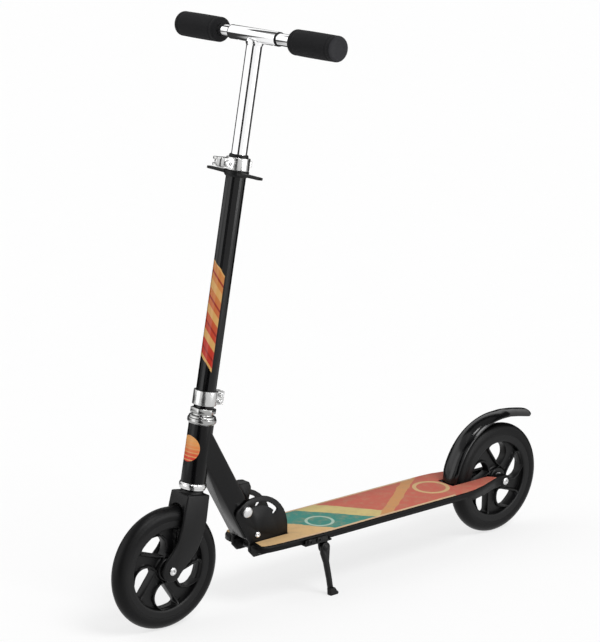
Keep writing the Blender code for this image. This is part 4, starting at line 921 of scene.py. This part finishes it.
radius, bore, low = (tBar[key] for key in ("stemRadius", "stemBore", "low"))
stemProfile = [(bore, -200), (bore, low), (radius, low), (radius, -16.0), *tBar["weld"], (bore - 2, -13.5),
               (bore, -15)]
stemGrid = turnedGrid(softCorners(stemProfile, 0.8, 4), tBar["steps"])
addPiece("t_bar_stem", stemGrid, barFrame, "t_bar", "chrome", "chrome", ["handlebar_stem"], closeRows=True)
sleeveGrid = tubeGrid(tBar["sleeveRadius"], tBar["sleeveBore"], -tBar["sleeveHalf"], tBar["sleeveHalf"])
sleeve = gridMesh("t_bar_sleeve", sleeveGrid, barFrame, True)
for name, side in sides.items():
    buttonAt = (0, side * tBar["buttonY"], 0)
    sleeve = drilled(sleeve, gripFrame, buttonAt, tBar["buttonHole"], -20, -5)
    near, far = (side * end for end in tBar["lip"])
    lip = wallLoop(tBar["lipBore"], tBar["lipRadius"], near, far)
    addTurned(f"sleeve_lip_{name}", lip, barFrame, "t_bar", "plastic", "black_plastic", (), "Y", 0.3)
    barGrid = tubeGrid(tBar["barRadius"], tBar["barBore"], tBar["barStart"], tBar["barEnd"]) * (1, side, 1)
    tube = gridMesh(f"{name}_bar_tube", barGrid, gripFrame, True)
    tube = drilled(tube, gripFrame, buttonAt, tBar["buttonHole"], -20, -5)
    keep(f"{name}_bar_tube", tube, f"{name}_bar", "chrome", [f"{name}_handlebar"])
keep("t_bar_sleeve", sleeve, "t_bar", "chrome")
print("T bar made")


# every solid that nothing above stands for shows as a merged, smooth copy of its own mesh

slotOf = {entry["node"]: entry["material_slot"] for entry in frame["record"]["subparts"]}
finishOf = {
    "black_paint": "powder", "black_plastic": "plastic", "brushed_aluminium": "alloy", "steel": "steel",
    "dark_steel": "dark", "tape": "tape",
}
special = {
    "steering_column": "column", "neck_frame": "neck", "deck_frame": "deck", "lock_spring": "spring",
    "fender_spring": "spring", "kickstand_pivot_rivet": "powder", "headset_lock_nut": "satin",
}
for node in frame["nodes"]:
    if node not in rebuilt:
        smoothCopy(node, special.get(node) or finishOf[slotOf[node]])
print("solids finished")


# studio: pale floor, soft lamps, and cards that only reflections see; metres and degrees

studio = {
    "world": 0.6, "mirror": 1.1, "key": 1.5, "fill": 0.5, "paper": 0.9, "lift": 0.7, "far": 0.04,
    "cardFoot": (0.2, 0.0), "away": 229.8, "farFloor": (0.12, 0.95),
}
# upright cards: azimuth, distance, width, low, high and strength
cards = {
    "darkCard": (36, 3.2, 1.45, 0, 3.2, 0.01), "columnShade": (36, 1.7, 1.2, 0, 0.31, 0.01),
    "frontGlow": (-18, 2.2, 1.1, 0, 2.4, 2.4), "sideGlow": (124, 1.5, 0.66, 0, 1.6, 2.4),
    "tyreGlow": (116, 1.6, 0.85, 0.3, 1.0, 10),
}
away = (math.cos(math.radians(studio["away"])), math.sin(math.radians(studio["away"])))


def makeFloor():
    # matt paper that is lifted to white for the camera; mirrors see it white near by and dim far behind
    mesh = bpy.data.meshes.new("studioFloor")
    mesh.from_pydata([(-40, -40, 0), (40, -40, 0), (40, 40, 0), (-40, 40, 0)], [], [(0, 1, 2, 3)])
    floor = bpy.data.objects.new("studioFloor", mesh)
    bpy.context.scene.collection.objects.link(floor)
    tone = studio["paper"]
    paper = Finish("palePaper", (tone, tone, tone), 1.0, Specular_IOR_Level=0.0)
    camera = paper.node("ShaderNodeLightPath")
    glossy = Signal(paper, camera.socket.node.outputs["Is Glossy Ray"])
    x, y, _ = paper.split(paper.position())
    far = (x * away[0] + y * away[1]).rise(*studio["farFloor"])
    paper.set("Base Color", paper.mix(paper.grain(9, 3), (tone - 0.01,) * 3, (tone + 0.01,) * 3))
    white, dim = (paper.node("ShaderNodeEmission", None, {"Color": (1, 1, 1, 1), "Strength": strength})
                  for strength in (1.0, studio["far"]))
    matt = Signal(paper, paper.shader.outputs[0])
    lit = paper.node("ShaderNodeMixShader", None, [glossy * far, matt, dim])
    bright = camera * studio["lift"] + glossy * (1 - far)
    mixed = paper.node("ShaderNodeMixShader", None, [bright, lit, white])
    output = next(n for n in paper.tree.nodes if n.type == "OUTPUT_MATERIAL")
    paper.tree.links.new(mixed.socket, output.inputs[0])
    mesh.materials.append(paper.material)


def makeSun(name, strength, azimuth, height, spread):
    data = bpy.data.lights.new(name, "SUN")
    data.energy = strength
    data.angle = math.radians(spread)
    lamp = bpy.data.objects.new(name, data)
    bpy.context.scene.collection.objects.link(lamp)
    a, e = math.radians(azimuth), math.radians(height)
    toward = Vector((math.cos(a) * math.cos(e), math.sin(a) * math.cos(e), math.sin(e)))
    lamp.rotation_euler = toward.to_track_quat("Z", "Y").to_euler()


def addCard(name, corners, strength):
    # a plain card that only reflections see
    mesh = bpy.data.meshes.new(name)
    mesh.from_pydata([tuple(c) for c in corners], [], [(0, 1, 2, 3)])
    card = bpy.data.objects.new(name, mesh)
    bpy.context.scene.collection.objects.link(card)
    felt = Finish(f"{name}Face", (0.02, 0.02, 0.02), 1.0, Specular_IOR_Level=0.0)
    felt.set("Emission Color", (1, 1, 1, 1))
    felt.set("Emission Strength", strength)
    felt.set("Roughness", 0.9 + felt.grain(5) * 0.1)
    mesh.materials.append(felt.material)
    for ray in ("camera", "diffuse", "shadow"):
        setattr(card, f"visible_{ray}", False)


def standCard(name, azimuth, distance, width, low, high, strength):
    # upright, around the steering column's foot
    a = math.radians(azimuth)
    across = np.array([-math.sin(a), math.cos(a), 0]) * width / 2
    foot = np.array([*studio["cardFoot"], 0]) + np.array([math.cos(a), math.sin(a), 0]) * distance
    bottom, top = np.array([0, 0, low]), np.array([0, 0, high])
    corners = [foot - across + bottom, foot + across + bottom, foot + across + top, foot - across + top]
    addCard(name, corners, strength)


def layCard(name, azimuth, halfAngle, near, far, strength):
    # flat on the floor, a slice of a ring around the steering column's foot
    spots = [(near, -halfAngle), (far, -halfAngle), (far, halfAngle), (near, halfAngle)]
    turns = [(reach, math.radians(azimuth + angle)) for reach, angle in spots]
    x, y = studio["cardFoot"]
    addCard(name, [(x + reach * math.cos(a), y + reach * math.sin(a), 0.002) for reach, a in turns], strength)


def lightWorld():
    # an even pale light; mirrors see a darker wall behind the scooter and a darker ceiling
    world = bpy.data.worlds.new("softStudio")
    bpy.context.scene.world = world
    world.use_nodes = True
    sky = Graph(world.node_tree, "Background")
    camera = sky.node("ShaderNodeLightPath")
    glossy = Signal(sky, camera.socket.node.outputs["Is Glossy Ray"])
    x, y, z = sky.split(sky.node("ShaderNodeTexCoord"))
    behind = (x * away[0] + y * away[1]).rise(0.45, 0.6) * (1 - z.rise(0.3, 0.4))
    ceiling = z.rise(0.648, 0.672) * (1 - z.rise(0.84, 0.88) * 0.3)
    mirror = (studio["mirror"] - behind * (studio["mirror"] - studio["far"])) * (1 - ceiling * 0.93)
    sky.set("Color", (1, 1, 1, 1))
    sky.set("Strength", camera + (1 - camera) * (glossy * mirror + (1 - glossy) * studio["world"]))


makeFloor()
makeSun("keySun", studio["key"], azimuth=95, height=52, spread=25)
makeSun("fillSun", studio["fill"], azimuth=-35, height=40, spread=60)
for name, sizes in cards.items():
    standCard(name, *sizes)
layCard("floorShade", azimuth=36, halfAngle=17, near=0.5, far=1.7, strength=0.01)
ceiling = [(-0.25, -0.08, 2.4), (0.25, -0.08, 2.4), (0.25, 0.26, 2.4), (-0.25, 0.26, 2.4)]
addCard("ceilingGlow", ceiling, strength=16)
lightWorld()
bpy.context.scene.view_settings.view_transform = "Standard"


# camera at the photograph's place; focal length and height in pixels, film in millimetres

view = {"place": (2.3330, 2.6167, 1.2140), "yaw": 229.774, "pitch": -12.281, "roll": -0.984, "focal": 2193.0,
        "height": 642, "film": 36.0}
yaw, pitch, roll = (math.radians(view[key]) for key in ("yaw", "pitch", "roll"))
forward = Vector((math.cos(yaw) * math.cos(pitch), math.sin(yaw) * math.cos(pitch), math.sin(pitch)))
right = forward.cross(Vector((0, 0, 1))).normalized()
up = right.cross(forward)
tiltedRight = math.cos(roll) * right + math.sin(roll) * up
tiltedUp = -math.sin(roll) * right + math.cos(roll) * up
lens = bpy.data.cameras.new("photoCamera")
lens.sensor_fit = "VERTICAL"
lens.sensor_height = view["film"]
lens.lens = view["focal"] * view["film"] / view["height"]
camera = bpy.data.objects.new("photoCamera", lens)
bpy.context.scene.collection.objects.link(camera)
turn = Matrix((tiltedRight, tiltedUp, -forward)).transposed().to_4x4()
camera.matrix_world = Matrix.Translation(view["place"]) @ turn
lens.clip_end = 200
bpy.context.scene.camera = camera
print("studio and camera ready")
